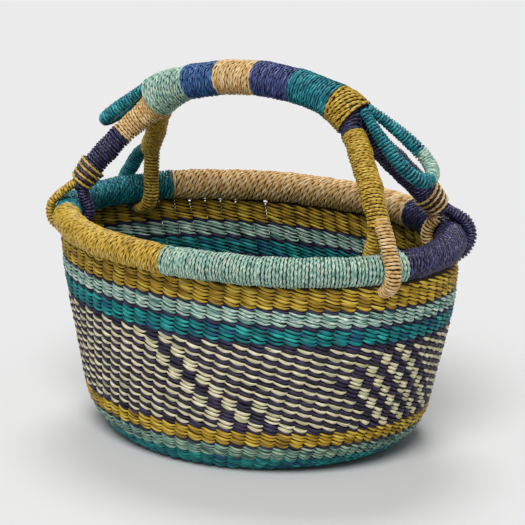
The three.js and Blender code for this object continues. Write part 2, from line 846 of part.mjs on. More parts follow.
function loopTube(leg, side) {
  const { point, tangent, outward } = leg.seat;
  const halfThickness = side > 0 ? leg.outerHalfThickness : loopHalfThickness;
  const section = roundSection(loopHalfWidth, halfThickness, loopSides);
  const rings = loopPath(leg, side, halfThickness).map(({ at, run }) => section.map(([s, r]) => {
    const spot = point.clone().addScaledVector(tangent, s);
    return spot.addScaledVector(outward, at.x + run.y * r).addScaledVector(up, at.y - run.x * r);
  }));
  return loft(rings);
}
addPiece('loop_front_left_outer', loopTube(frontLeft, 1), 'olive');
addPiece('loop_front_left_inner', loopTube(frontLeft, -1), 'navy');
addPiece('loop_back_left_outer', loopTube(backLeft, 1), 'teal');
addPiece('loop_back_left_inner', loopTube(backLeft, -1), 'olive');
addPiece('loop_front_right_outer', loopTube(frontRight, 1), 'tan');
addPiece('loop_front_right_inner', loopTube(frontRight, -1), 'olive');
addPiece('loop_back_right_outer', loopTube(backRight, 1), 'navy');
addPiece('loop_back_right_inner', loopTube(backRight, -1), 'tan');

// Top band of the wall, with a notch for each loop that passes through it

const notchHalfWidth = loopHalfWidth + notchClearance;
const notchHalfThickness = loopHalfThickness + notchClearance;

let topBand = toManifold(wallBand(bandFoot + seatGap / 2, wallHeight, 1));
for (const { seat } of legs) {
  const loopRadius = seat.radius + seatGap + loopHalfThickness;
  const notchDepth = 2 * loopRadius;
  const notchShape = new THREE.Shape();
  notchShape.moveTo(-notchHalfWidth, 0);
  notchShape.lineTo(-notchHalfWidth, -loopRadius);
  notchShape.absellipse(0, -loopRadius, notchHalfWidth, notchHalfThickness, Math.PI, 2 * Math.PI);
  notchShape.lineTo(notchHalfWidth, 0);
  const cutter = new THREE.ExtrudeGeometry(notchShape, { depth: notchDepth, bevelEnabled: false, curveSegments: 5 });
  const start = seat.point.clone().addScaledVector(seat.outward, -notchDepth / 2);
  const turn = new THREE.Matrix4().makeBasis(seat.tangent, up, seat.outward.clone());
  cutter.applyMatrix4(turn.setPosition(start));
  topBand = topBand.subtract(toManifold(cutter));
}
addPiece('weft_olive_upper', fromManifold(topBand), 'olive');

// Ears: hairpins wound with straw, rooted over the legs at the grip's ends

function earCurve({ end, length, dive, yaw, roll, spread, bend, belly }) {
  const gripEnd = gripFrame(end < 0 ? 0 : 1);
  const flat = Math.cos(radians(dive));
  const away = vec(end * flat * Math.cos(radians(yaw)), flat * Math.sin(radians(yaw)), -Math.sin(radians(dive)));
  const level = across.clone().addScaledVector(away, -across.dot(away)).normalize();
  const wide = level.applyAxisAngle(away, radians(roll));
  const root = place(gripEnd, [0, earRootRise]).addScaledVector(gripEnd.run, end * (seatGap / 2 + earRootRadius / 2));
  const half = (side) => {
    const spot = (along, out) => root.clone().addScaledVector(away, along).addScaledVector(wide, side * out);
    const reach = length - earRadius;
    return new THREE.CubicBezierCurve3(
      spot(0, earRootSpread / 2),
      spot(reach * bend, earRootSpread / 2 + spread / 10),
      spot(reach, (spread / 2) * belly),
      spot(reach, 0),
    );
  };
  const out = half(-1).getPoints(earSteps / 2);
  const back = half(1).getPoints(earSteps / 2).reverse();
  return { points: [...out, ...back.slice(1)], normal: away.clone().cross(wide) };
}

// A stretch of an ear between two shares of its run, thin at the roots
function earTube({ points, normal }, from, to) {
  const last = points.length - 1;
  const rings = [];
  for (let i = Math.round(from * last); i <= Math.round(to * last); i += 1) {
    const before = points[Math.max(i - 1, 0)];
    const after = points[Math.min(i + 1, last)];
    const run = after.clone().sub(before).normalize();
    const side = run.clone().cross(normal);
    const toRoot = Math.min(i, last - i) / last;
    const radius = mix(earRootRadius, earRadius, Math.min(1, toRoot / 0.3));
    const shift = i === Math.round(from * last) && from > 0 ? seatGap : 0;
    const centre = points[i].clone().addScaledVector(run, shift);
    const section = roundSection(radius, radius, earSides);
    rings.push(section.map(([s, r]) => centre.clone().addScaledVector(side, s).addScaledVector(normal, r)));
  }
  return loft(rings);
}
const leftEar = earCurve({
  end: -1,
  length: earLeftLength,
  dive: earLeftDive,
  yaw: earLeftYaw,
  roll: earLeftRoll,
  spread: earLeftSpread,
  bend: earLeftBend,
  belly: earLeftBelly,
});
const rightEar = earCurve({
  end: 1,
  length: earRightLength,
  dive: earRightDive,
  yaw: earRightYaw,
  roll: earRightRoll,
  spread: earRightSpread,
  bend: earRightBend,
  belly: earRightBelly,
});
addPiece('ear_left', earTube(leftEar, 0, 1), 'teal');
addPiece('ear_right_front', earTube(rightEar, 0, earMintStart), 'teal');
addPiece('ear_right_mint', earTube(rightEar, earMintStart, earMintEnd), 'mint');
addPiece('ear_right_back', earTube(rightEar, earMintEnd, 1), 'teal');

// Bindings: one strand wound over the end of a leg, as an unbroken coil

// Least gap between one turn of a coil and the next, between points on its surface
function leastTurnGap(rings) {
  let least = Infinity;
  for (let i = 0; i < rings.length; i += 1) {
    for (let j = i + windingSteps / 2; j < rings.length; j += 1) {
      for (const here of rings[i]) {
        for (const there of rings[j]) least = Math.min(least, here.distanceTo(there));
      }
    }
  }
  return least;
}

function binding(name, leg, colour) {
  const run = bindingTurns * bindingPitch;
  const steps = bindingTurns * windingSteps;
  const spot = (i) => {
    const share = 1 - (bindingEndMargin + run * (1 - i / steps)) / leg.length;
    const frame = legFrame(leg, share);
    const turn = (2 * Math.PI * i) / windingSteps;
    const out = frame.side.clone().multiplyScalar(Math.cos(turn)).addScaledVector(frame.rise, Math.sin(turn));
    const centreRadius = legRadiusAt(leg, share) + bindingLift + bindingStrandRadius;
    return { out, point: frame.point.clone().addScaledVector(out, centreRadius) };
  };
  const rings = [];
  for (let i = 0; i <= steps; i += 1) {
    const { out, point } = spot(i);
    const tangent = spot(i + 0.5).point.sub(spot(i - 0.5).point).normalize();
    const side = tangent.clone().cross(out).normalize();
    const lift = side.clone().cross(tangent);
    const section = roundSection(bindingStrandRadius, bindingStrandRadius, windingSides);
    rings.push(section.map(([s, r]) => point.clone().addScaledVector(side, s).addScaledVector(lift, r)));
  }
  console.log(`${name}: least gap between its turns ${leastTurnGap(rings).toFixed(2)} mm`);
  addPiece(name, loft(rings), colour);
}
binding('binding_front_left', frontLeft, 'olive');
binding('binding_back_right', backRight, 'tan');

export default basket;
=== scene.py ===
import math

import bpy
import numpy as np
from mathutils import Matrix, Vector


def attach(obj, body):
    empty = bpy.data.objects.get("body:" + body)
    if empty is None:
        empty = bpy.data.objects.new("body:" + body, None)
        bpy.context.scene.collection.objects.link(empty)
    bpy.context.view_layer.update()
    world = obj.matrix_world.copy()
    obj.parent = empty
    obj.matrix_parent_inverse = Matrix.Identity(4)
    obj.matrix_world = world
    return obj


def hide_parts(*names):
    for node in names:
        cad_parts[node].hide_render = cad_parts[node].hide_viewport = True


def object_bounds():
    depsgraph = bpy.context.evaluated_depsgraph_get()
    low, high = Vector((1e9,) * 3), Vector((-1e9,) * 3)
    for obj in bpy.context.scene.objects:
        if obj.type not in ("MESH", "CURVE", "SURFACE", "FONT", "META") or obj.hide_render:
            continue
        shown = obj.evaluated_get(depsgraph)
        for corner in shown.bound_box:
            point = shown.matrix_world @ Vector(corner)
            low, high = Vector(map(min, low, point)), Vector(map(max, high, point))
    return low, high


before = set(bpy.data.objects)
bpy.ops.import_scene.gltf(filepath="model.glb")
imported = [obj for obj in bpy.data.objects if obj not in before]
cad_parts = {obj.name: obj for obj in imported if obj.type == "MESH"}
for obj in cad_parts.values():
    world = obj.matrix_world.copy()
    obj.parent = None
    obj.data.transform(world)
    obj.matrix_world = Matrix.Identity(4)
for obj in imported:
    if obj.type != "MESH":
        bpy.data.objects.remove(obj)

cad_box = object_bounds()
MM = 0.001
UP = np.array([0, 0, 1.0])


def add_object(name, data):
    made = bpy.data.objects.new(name, data)
    bpy.context.scene.collection.objects.link(made)
    return made


def set_pose(made, right, up, back, spot):
    """Turns an object by its three axes and puts it at a spot."""
    rows = [(right[k], up[k], back[k], spot[k]) for k in range(3)]
    made.matrix_world = Matrix(rows + [(0, 0, 0, 1)])


def unit(v):
    return v / np.maximum(np.linalg.norm(v, axis=-1, keepdims=True), 1e-12)


# ---- camera
# Azimuth is measured from the front (-Y) towards +X. Lengths are in mm
AZIMUTH, ELEVATION = math.radians(35.5), math.radians(15.5)
VIEW_MIDDLE = np.array([0.0, 0.0, 178.5])
VIEW_RIGHT, VIEW_DOWN = 6.1, 31.0
CAMERA_AWAY = 2200
LENS, SENSOR = 177.46, 36

cam_back = np.array([math.sin(AZIMUTH) * math.cos(ELEVATION),
                     -math.cos(AZIMUTH) * math.cos(ELEVATION), math.sin(ELEVATION)])
cam_right = np.array([math.cos(AZIMUTH), math.sin(AZIMUTH), 0.0])
cam_up = np.cross(cam_back, cam_right)
target = VIEW_MIDDLE + VIEW_RIGHT * cam_right - VIEW_DOWN * cam_up
camera_data = bpy.data.cameras.new("camera")
camera_data.lens = LENS
camera_data.sensor_width = SENSOR
camera_data.sensor_fit = "HORIZONTAL"
camera_data.clip_end = 50
camera = add_object("camera", camera_data)
set_pose(camera, cam_right, cam_up, cam_back, (target + CAMERA_AWAY * cam_back) * MM)
bpy.context.scene.camera = camera

# ---- sizes of the part, in mm
SEAT_GAP = 0.3
WALL = 5.0
BASE_L, BASE_W = 224.0, 208.0
BASE_MARGIN = 3.0
KNEE_Z, KNEE_L, KNEE_W = 42.0, 320.0, 255.0
TOP_L, TOP_W = 373.0, 254.0
WALL_H = 165.6
FLARE, SHOULDER, WAIST = 0.235, 2.2, -3.0
RIM_L, RIM_W, RIM_R, RIM_SWELL = 354.4, 257.4, 12.4, 1.6
RIM_FOOT = WALL_H + SEAT_GAP
GRIP_TOP = RIM_FOOT + RIM_R + 128.0
GRIP_R, GRIP_SWELL, GRIP_SWELL_RUN = 15, 3.5, 42

# ---- materials
# The strand map has 1 unit for 100 mm along a strand and 1 unit across it
MAP_UNIT = 100.0
TONES_FROM, TONES_TO = 0.33, 0.67
FIBRE_SHARE, FIBRE_FROM, FIBRE_TO = 0.35, 0.35, 0.62
GRAIN_DEPTH = 0.0004
# Noises: scale along and across a strand, which each straw sets for its tones, then detail
# and roughness
TONE_NOISE, FIBRE_NOISE, GRAIN_NOISE = (1.5, 0.6), (9.0, 7.0, 2.5, 0.6), (6.0, 16.0, 1.0, 0.5)


def srgb(text):
    parts = [int(text[i:i + 2], 16) / 255 for i in (0, 2, 4)]
    return [((v + 0.055) / 1.055) ** 2.4 if v > 0.04045 else v / 12.92 for v in parts] + [1.0]


def node(tree, kind, **values):
    """A node with its settings, and with inputs named with _ for a space."""
    made = tree.nodes.new(kind)
    for key, value in values.items():
        if hasattr(made, key):
            setattr(made, key, value)
        else:
            made.inputs[key.replace("_", " ")].default_value = value
    return made


def straw(name, tones, dark, along=2.2, across=0.0, rough=0.5, bump=0.5, gloss=0.3):
    """Straw on the strand map: tones change along each strand and fibres run along it."""
    material = bpy.data.materials.new(name)
    material.use_nodes = True
    tree = material.node_tree
    tree.nodes.clear()
    link = tree.links.new
    strand_map = node(tree, "ShaderNodeUVMap", uv_map="strand")

    def noise(x_scale, y_scale, detail, roughness):
        mapped = node(tree, "ShaderNodeMapping", Scale=(x_scale, y_scale, 1))
        link(strand_map.outputs[0], mapped.inputs[0])
        made = node(tree, "ShaderNodeTexNoise", noise_dimensions="2D",
                    Scale=1.0, Detail=detail, Roughness=roughness)
        link(mapped.outputs[0], made.inputs["Vector"])
        return made.outputs["Fac"]

    ramp = node(tree, "ShaderNodeValToRGB")
    elements = ramp.color_ramp.elements
    for i, tone in enumerate(tones):
        place = TONES_FROM + (TONES_TO - TONES_FROM) * i / (len(tones) - 1)
        element = elements[i] if i < 2 else elements.new(place)
        element.position = place
        element.color = srgb(tone)
    link(noise(along, across, *TONE_NOISE), ramp.inputs[0])
    fibres = node(tree, "ShaderNodeMapRange", From_Min=FIBRE_FROM, From_Max=FIBRE_TO,
                  To_Min=FIBRE_SHARE, To_Max=0.0)
    link(noise(*FIBRE_NOISE), fibres.inputs["Value"])
    shade = node(tree, "ShaderNodeMix", data_type="RGBA")
    link(fibres.outputs[0], shade.inputs[0])
    link(ramp.outputs[0], shade.inputs[6])
    shade.inputs[7].default_value = srgb(dark)
    grain = node(tree, "ShaderNodeBump", Strength=bump, Distance=GRAIN_DEPTH)
    link(noise(*GRAIN_NOISE), grain.inputs["Height"])
    shader = node(tree, "ShaderNodeBsdfPrincipled", Roughness=rough, Specular_IOR_Level=gloss)
    link(shade.outputs[2], shader.inputs["Base Color"])
    link(grain.outputs[0], shader.inputs["Normal"])
    link(shader.outputs[0], node(tree, "ShaderNodeOutputMaterial").inputs[0])
    return material


# Woven straw: tones, dark of the fibres, how fast tones change along and across a strand
weft = {key: straw("weft_" + key, tones.split(), dark, along, across)
        for key, tones, dark, along, across in (
    ("olive", "7c620e ac881c c8a62c e0c450", "4a3208", 3.5, 2.0),
    ("mint", "447470 8ab8a6 c6e0ce 629694 eaf4e2 7fa69a", "24423a", 4.0, 2.4),
    # mint_low is a darker copy of mint for the lower band: painted shade where the wall curves
    # under
    ("mint_low", "28444a 648a78 9cc2aa 426a68 b0c8aa", "16282c", 4.0, 2.4),
    ("teal", "0c5278 005c64 047c80 0c9490 2aaca6", "03242a", 4.0, 0.0),
    ("navy", "1c1a30 292642 3b375f", "0e0d1e", 4.0, 0.0),
    ("cream", "a8aa84 cecaa0 eeebd0 dac8a0 c2c69e", "7b6d44", 5.0, 2.4),
    ("pattern_navy", "1c1820 2e263c 3e3558 272026", "0c0a12", 5.0, 2.4),
)}
# Wound straw: tones, dark of the fibres, change along a strand, roughness and specular level
wound = {key: straw("wound_" + key, tones.split(), dark, along, rough=rough, gloss=gloss)
         for key, tones, dark, along, rough, gloss in (
    ("olive", "a07c14 c8a02c e4c454 b48c1e", "3d2c08", 9.0, 0.34, 0.5),
    ("mint", "5e9282 94bea8 d2e8d6 7cb2a6 b4ceb8 c2c8b4", "1f4036", 7.0, 0.34, 0.5),
    ("teal", "045664 0b7a89 36acb4", "03222a", 7.0, 0.3, 0.5),
    ("ear_teal", "04586a 0a7c88 38aab2", "03222a", 7.0, 0.26, 0.5),
    ("navy", "222a58 37437a 6672ac", "0f1228", 7.0, 0.3, 0.5),
    ("dusk", "1f1b34 2a2644 342f54 504c78 363a68", "0e0c1c", 7.0, 0.3, 0.5),
    ("blue", "1a3768 2a5690 5386bc", "0c1c36", 7.0, 0.28, 0.5),
    ("bark", "2e2018 4a3524 64492e", "140c08", 3.0, 0.4, 0.3),
    ("tan", "cc9a54 e6bf7e fbe2b2", "402404", 8.0, 0.34, 0.5),
)}
# Painted shade: flat dark straw colours for the sleeves and liners that show deep between the
# strands, standing in for the shade there
under = {key: straw("under_" + key, [tone, tone], "050505", bump=0.2) for key, tone in (
    ("olive", "3a2a08"), ("mint", "22372f"), ("teal", "03222a"), ("navy", "121226"),
    ("dusk", "100e1e"), ("blue", "0c1a32"), ("tan", "4a2e0a"),
)}
grass = straw("grass_stems", ["a89058", "bfa877", "cdb88a"], "5e4a22", along=1.0, rough=0.75)


# ---- mesh building
STRAND_SIDES = 6


def from_zero(steps):
    return np.concatenate([[0], np.cumsum(steps)])


def run_along(path):
    """Length along a path up to each of its points."""
    return from_zero(np.linalg.norm(np.diff(path, axis=0), axis=1))


def run_round(path):
    """The same round a closed path, with the whole lap at the end."""
    return from_zero(np.linalg.norm(np.diff(path, axis=0, append=path[:1]), axis=1))


def off_axis(centre, side, rise, radius, turn):
    """Points at a radius and turn round each station of a middle line."""
    phase = 2 * np.pi * turn
    return centre + side * (radius * np.cos(phase))[:, None] \
        + rise * (radius * np.sin(phase))[:, None]


def surface_grid(surface, s, turn, depth):
    """Points of a surface at all places and turns, at one depth or one for each turn."""
    grid_s, grid_t = np.meshgrid(s, turn, indexing="ij")
    depths = np.broadcast_to(depth, grid_s.shape).ravel()
    return surface(grid_s.ravel(), grid_t.ravel(), depths).reshape(len(s), len(turn), 3)


class Builder:
    """Collects quads with a strand map and a material each, then makes one object."""

    def __init__(self):
        self.points, self.faces, self.uvs, self.slots = [], [], [], []
        self.count = 0

    def grid(self, points, closed, length, slot=0, offset=0.0, flip=False):
        """points is (n, k, 3): n stations along, k points round. length is the strand map at
        each station, and slot one index or one for each station."""
        n, k = points.shape[:2]
        along = n if closed else n - 1
        i = np.arange(along)[:, None]
        j = np.arange(k)[None, :]
        i2, j2 = (i + 1) % n, (j + 1) % k
        corners = np.broadcast_arrays(i * k + j, i * k + j2, i2 * k + j2, i2 * k + j)
        quad = np.stack(corners, -1).reshape(-1, 4)
        whole = (along, k)
        x0 = np.broadcast_to(np.asarray(length)[:along, None] + offset, whole)
        x1 = np.broadcast_to(np.asarray(length)[1:along + 1, None] + offset, whole)
        y0 = np.broadcast_to(j / k, whole)
        y1 = np.broadcast_to((j + 1) / k, whole)
        spots = ((x0, y0), (x0, y1), (x1, y1), (x1, y0))
        uv = np.stack([np.stack(spot, -1) for spot in spots], 2).reshape(-1, 4, 2)
        if flip:
            quad, uv = quad[:, ::-1], uv[:, ::-1]
        self.points.append(points.reshape(-1, 3))
        self.faces.append(quad + self.count)
        self.uvs.append(uv)
        self.slots.append(np.broadcast_to(np.reshape(slot, (-1, 1)), whole).reshape(-1))
        self.count += n * k

    def tube(self, centre, wide, thick, half_w, half_h, closed=False, slot=0, offset=0.0):
        """A strand: centre (n, 3), unit axes across it, half sizes along those axes."""
        turn = 2 * np.pi * (np.arange(STRAND_SIDES) + 0.5) / STRAND_SIDES
        half_w, half_h = (np.broadcast_to(half, len(centre))[:, None] for half in (half_w, half_h))
        rings = centre[:, None] + wide[:, None] * (half_w * np.cos(turn))[:, :, None] \
            + thick[:, None] * (half_h * np.sin(turn))[:, :, None]
        self.grid(rings, closed, run_round(centre) / MAP_UNIT, slot, offset)

    def make(self, name, materials, replaced):
        points, faces, uvs, slots = (np.concatenate(part) for part in (
            self.points, self.faces, self.uvs, self.slots))
        mesh = bpy.data.meshes.new(name)
        mesh.vertices.add(len(points))
        mesh.vertices.foreach_set("co", (points * MM).astype(np.float32).ravel())
        mesh.loops.add(len(faces) * 4)
        mesh.loops.foreach_set("vertex_index", faces.astype(np.int32).ravel())
        mesh.polygons.add(len(faces))
        mesh.polygons.foreach_set("loop_start", np.arange(len(faces), dtype=np.int32) * 4)
        mesh.polygons.foreach_set("material_index", slots.astype(np.int32))
        mesh.polygons.foreach_set("use_smooth", np.ones(len(faces), dtype=bool))
        mesh.update(calc_edges=True)
        layer = mesh.uv_layers.new(name="strand")
        layer.data.foreach_set("uv", uvs.astype(np.float32).ravel())
        for material in materials:
            mesh.materials.append(material)
        made = add_object(name, mesh)
        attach(made, "root")
        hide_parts(*replaced)


def bezier(points, count):
    a, b, c, d = (np.asarray(p, float) for p in points)
    t = np.linspace(0, 1, count)[:, None]
    return a * (1 - t) ** 3 + 3 * b * t * (1 - t) ** 2 + 3 * c * t * t * (1 - t) + d * t ** 3


def oval_run(a, b, t):
    """Length round an oval up to each angle."""
    speed = np.hypot(a * np.sin(t), b * np.cos(t))
    return from_zero((speed[1:] + speed[:-1]) / 2 * np.diff(t))


def oval_angle(a, b, share):
    """Angle round an oval for each share of the way round it."""
    t = np.linspace(-2 * np.pi, 4 * np.pi, 4321)
    run = oval_run(a, b, t)
    return np.interp((np.asarray(share) + 1) / 3 * run[-1], run, t)


# ---- woven wall
def wall_outline(base, knee, top, flare, bulge):
    """Half length or half width of the wall against height, by the part's own curves."""
    rise = WALL_H - KNEE_Z
    foot = bezier([
        (base, 0),
        (base + (knee - base) * 0.46, 0),
        (knee - flare * KNEE_Z * 0.6, KNEE_Z * 0.4),
        (knee, KNEE_Z),
    ], 120)
    side = bezier([
        (knee, KNEE_Z),
        (knee + flare * rise * 0.37, KNEE_Z + rise * 0.37),
        (top + bulge, KNEE_Z + rise * 0.68),
        (top, WALL_H),
    ], 240)
    return np.concatenate([foot, side[1:]])


def profile_table():
    """Middle of the wall's thickness by the way v up it: half length a and half width b, their
    heights za and zb, and the height part na and nb of the outward normal there."""
    length = wall_outline(BASE_L / 2, KNEE_L / 2, TOP_L / 2, FLARE, SHOULDER)
    width = wall_outline(BASE_W / 2, KNEE_W / 2, TOP_W / 2, 0, WAIST)
    out = {"v": run_along((length + width) / 2), "z": length[:, 1]}
    for key, curve in (("a", length), ("b", width)):
        tangent = unit(np.gradient(curve, axis=0))
        out[key] = curve[:, 0] - tangent[:, 1] * WALL / 2
        out["z" + key] = curve[:, 1] + tangent[:, 0] * WALL / 2
        out["n" + key] = -tangent[:, 0]
    return out


PROFILE = profile_table()


def profile_at(v):
    return {key: np.interp(v, PROFILE["v"], PROFILE[key])
            for key in ("a", "b", "za", "zb", "na", "nb")}


def run_at_height(z):
    return float(np.interp(z, PROFILE["z"], PROFILE["v"]))


# Stakes stand closer at the right end than along the front, and lean left going down. Places
# are shares of the way round the wall from +X
STAKES = 74
SAMPLES = 6
FRONT_GROOVE = 0.7148
LEAN, LEAN_FROM = 0.00015, 160
SPACING_AT = [0.0, 0.06, 0.15, 0.5, 0.72, 0.8, 0.87, 0.93, 0.95, 1.0]
SPACING = [98, 92, 70, 68, 65.5, 67.5, 70.5, 78, 98, 98]
share_grid = np.linspace(0, 1, 2001)
share_middles = (share_grid[1:] + share_grid[:-1]) / 2
stake_grid = from_zero(np.interp(share_middles, SPACING_AT, SPACING))
stake_grid *= STAKES / stake_grid[-1]
groove_stake = float(np.interp(FRONT_GROOVE, share_grid, stake_grid))
first_stake = groove_stake % 1 + 0.5


def stake_shares(v):
    """Share of the way round the wall for every sample of a row."""
    u = np.arange(STAKES * SAMPLES) / SAMPLES + first_stake
    lap = np.floor(u / STAKES)
    return np.interp(u - lap * STAKES, stake_grid, share_grid) + lap - LEAN * (LEAN_FROM - v)


def row_angles(v):
    p = profile_at(v)
    return oval_angle(float(p["a"]), float(p["b"]), stake_shares(v))


def wall_station(v, theta):
    """Points, outward normals and upward axes of the wall at angles of a row."""
    p = profile_at(v)
    c, s = np.cos(theta), np.sin(theta)
    z = p["za"] * c * c + p["zb"] * s * s
    point = np.stack([p["a"] * c, p["b"] * s, z], -1)
    down = p["na"] * c * c + p["nb"] * s * s
    flat = unit(np.stack([c / p["a"], s / p["b"], np.zeros_like(c)], -1))
    normal = flat * np.sqrt(np.maximum(1 - down * down, 0))[:, None]
    normal[:, 2] = down
    tangent = np.stack([-flat[:, 1], flat[:, 0], np.zeros_like(c)], -1)
    return point, normal, np.cross(normal, tangent)


def wobble(rng, count, amount):
    """A smooth closed random run: one value for every sample, drawn once for every stake."""
    knots = rng.normal(0, amount, count // SAMPLES + 1)
    knots[-1] = knots[0]
    return np.interp(np.arange(count) / SAMPLES, np.arange(len(knots)), knots)


# A strand's way round the stakes: out and in of the wall's middle, up and down, its sag
# outside, and half its thickness at a stake and where it goes in
REACH, SWING, SAG, BULK, THIN = 1.6, 1.3, 0.7, 1.15, 0.5
SQUARENESS = 1.5
FULLNESS = 0.8
ROW_OVERLAP = 1.02
PHASE_SLACK, REACH_SLACK, LIFT_SLACK, WIDTH_SLACK = 0.12, 0.15, 0.26, 0.14
MAP_SHIFT = 500


def map_shift(rng):
    """Moves a strand's map, so that no two strands have the same tones."""
    return float(rng.uniform(0, MAP_SHIFT))


def twined_row(build, rng, station, stakes, height, reach, bulk, colour=None):
    """Two strands twined round stakes: each passes outside one and inside the next. colour
    is the material that shows outside each stake, 0 or 1."""
    centre, normal, rise = station
    count = stakes * SAMPLES
    u = np.arange(count) / SAMPLES
    for s in (0, 1):
        phase = np.pi * (u + s) + wobble(rng, count, PHASE_SLACK)
        cosine, sine = np.cos(phase), np.sin(phase)
        radial = np.tanh(SQUARENESS * cosine) / math.tanh(SQUARENESS) * reach \
            * (1 + wobble(rng, count, REACH_SLACK))
        lift = -SWING * sine - SAG * np.maximum(cosine, 0) + wobble(rng, count, LIFT_SLACK)
        path = centre + normal * radial[:, None] + rise * lift[:, None]
        along = unit(np.roll(path, -1, 0) - np.roll(path, 1, 0))
        thick = unit(normal - along * (normal * along).sum(1)[:, None])
        body = np.abs(cosine) ** FULLNESS
        half_w = (THIN + (height / 2 * ROW_OVERLAP - THIN) * body) \
            * (1 + wobble(rng, count, WIDTH_SLACK))
        half_h = THIN + (bulk - THIN) * body
        slot = 0
        if colour is not None:
            column = np.floor(u + 0.5 + 1e-9).astype(int) % stakes
            middle = np.floor(u + 0.5 / SAMPLES + 0.5).astype(int) % stakes
            outside = (column + s) % 2 == 0
            slot = np.where(outside, colour[middle], 1 - colour[middle])
        build.tube(path, np.cross(along, thick), thick, half_w, half_h, closed=True,
                   slot=slot, offset=map_shift(rng))


PATTERN_ROWS = 22
FIGURE_LEFT = math.floor(groove_stake) + 1
FIGURE_RIGHT = FIGURE_LEFT + 17


def pattern_colours():
    """1 for navy and 0 for cream, by row from the top and stake: checks, with two figures of
    stepped stacks that move one stake to the right every third row."""
    table = np.zeros((PATTERN_ROWS, STAKES), int)
    for row in range(PATTERN_ROWS):
        table[row] = (row + np.arange(STAKES) + FIGURE_LEFT) % 2
        step = (row + 1) // 3
        for offset in range(-1, 4 if step > 4 else 2):
            table[row, (FIGURE_LEFT + step + offset) % STAKES] = (offset + 1) % 2
        last = FIGURE_RIGHT + step
        for column in range(last - 2 * min(step, 3) - 1, last + 2):
            table[row, column % STAKES] = (column - last) % 2
    return table


# Liner inside a band, and the shares round the wall where light comes through it
LINER_LEVEL = 6
LINER_PER_STAKE = 4
LINER_HALF = 0.3
LINER_MAP_STEP = 0.035
HOLES, HOLE_WIDTH, HOLE_CHANCE = (0.32, 0.425), 0.2, 0.65
HOLE_DEPTH, HOLE_VARIES, LINER_ABOVE = 1.6, 2.4, 3.6
SLITS, SLIT, SLIT_VARIES = (0.285, 0.435), 0.026, (-0.2, 0.8)
PINHOLED = "rows_olive_upper"
SLITTED = ("rows_olive_upper", "rows_mint_upper", "rows_teal_upper")


def liner(build, low, high, slot, rng, pinholes, slits):
    """Thin shell inside a band that keeps light out between its strands, apart from pinholes along
    its top and slits between stakes. Its dark colour is painted shade in the gaps."""
    levels = max(3, int((high - low) / LINER_LEVEL) + 1)
    between = np.arange(STAKES) + 0.5
    place = stake_shares(high)[(between * SAMPLES).astype(int)] % 1
    panels = [(0, STAKES)]
    if slits:
        cuts = between[(place > SLITS[0]) & (place < SLITS[1])]
        panels = zip(cuts, np.append(cuts[1:], cuts[0] + STAKES))
        open_by = SLIT * np.maximum(0, rng.normal(*SLIT_VARIES, (levels, 2 * STAKES)))
    deep = np.tile(rng.uniform(0.0, 1.0, STAKES), 2)
    for start, end in panels:
        u = np.linspace(start, end, round((end - start) * LINER_PER_STAKE) + 1)
        u = u if slits else u[:-1]
        top = np.zeros(len(u))
        if pinholes:
            share = np.interp(u % STAKES, between, place)
            holes = (share > HOLES[0]) & (share < HOLES[1]) & ((u + 0.5) % 1 < HOLE_WIDTH)
            depth = deep[u.astype(int)]
            top = np.where(holes & (depth > 1 - HOLE_CHANCE),
                           HOLE_DEPTH + HOLE_VARIES * depth, -LINER_ABOVE)
        rows = []
        up_and_down = [(LINER_HALF, level) for level in range(levels)]
        up_and_down += [(-LINER_HALF, level) for level in reversed(range(levels))]
        for offset, level in up_and_down:
            v = low + (high - low) * level / (levels - 1)
            lap = row_angles(v)
            if slits:
                u[0] = start + open_by[level, int(start)]
                u[-1] = end - open_by[level, int(end) % STAKES]
            theta = np.interp(u, np.arange(2 * STAKES * SAMPLES) / SAMPLES,
                              np.append(lap, lap + 2 * np.pi))
            drop = top * max(0.0, 1 - (levels - 1 - level))
            point, normal, rise = wall_station(v, theta)
            rows.append(point + normal * offset - rise * drop[:, None])
        map_places = np.arange(len(u) + 1) * LINER_MAP_STEP
        build.grid(np.stack(rows, 1), not slits, map_places, slot)


# Strands lie closer to the wall's middle near the floor and in a row that stands alone
FLOOR_FROM, FLOOR_RUN = 8, 5
FLOOR_REACH, FLOOR_BULK, LONE_ROW = 0.5, 0.2, 0.2


def woven_band(name, node_name, low, high, rows, materials, gap_shade_key, seed,
               colours=None, first=0, last=None):
    """Rows first to last of a band between two heights, counted from its top."""
    rng = np.random.default_rng(seed)
    v0, v1 = run_at_height(low), run_at_height(high)
    build = Builder()
    height = (v1 - v0) / rows
    last = rows if last is None else last
    slim = LONE_ROW if rows == 1 else 0.0
    for row in range(first, last):
        v = v1 - (row + 0.5) * height
        near_floor = min(1.0, max(0.0, (FLOOR_FROM - v) / FLOOR_RUN))
        twined_row(build, rng, wall_station(v, row_angles(v)), STAKES, height,
                   REACH - FLOOR_REACH * near_floor - slim, BULK - FLOOR_BULK * near_floor - slim,
                   None if colours is None else colours[row])
    liner(build, v1 - last * height, v1 - first * height, len(materials), rng,
          name == PINHOLED, name in SLITTED)
    # The liner takes the last material, a dark straw colour: painted shade between the strands
    build.make(name, materials + [under[gap_shade_key]], [node_name])


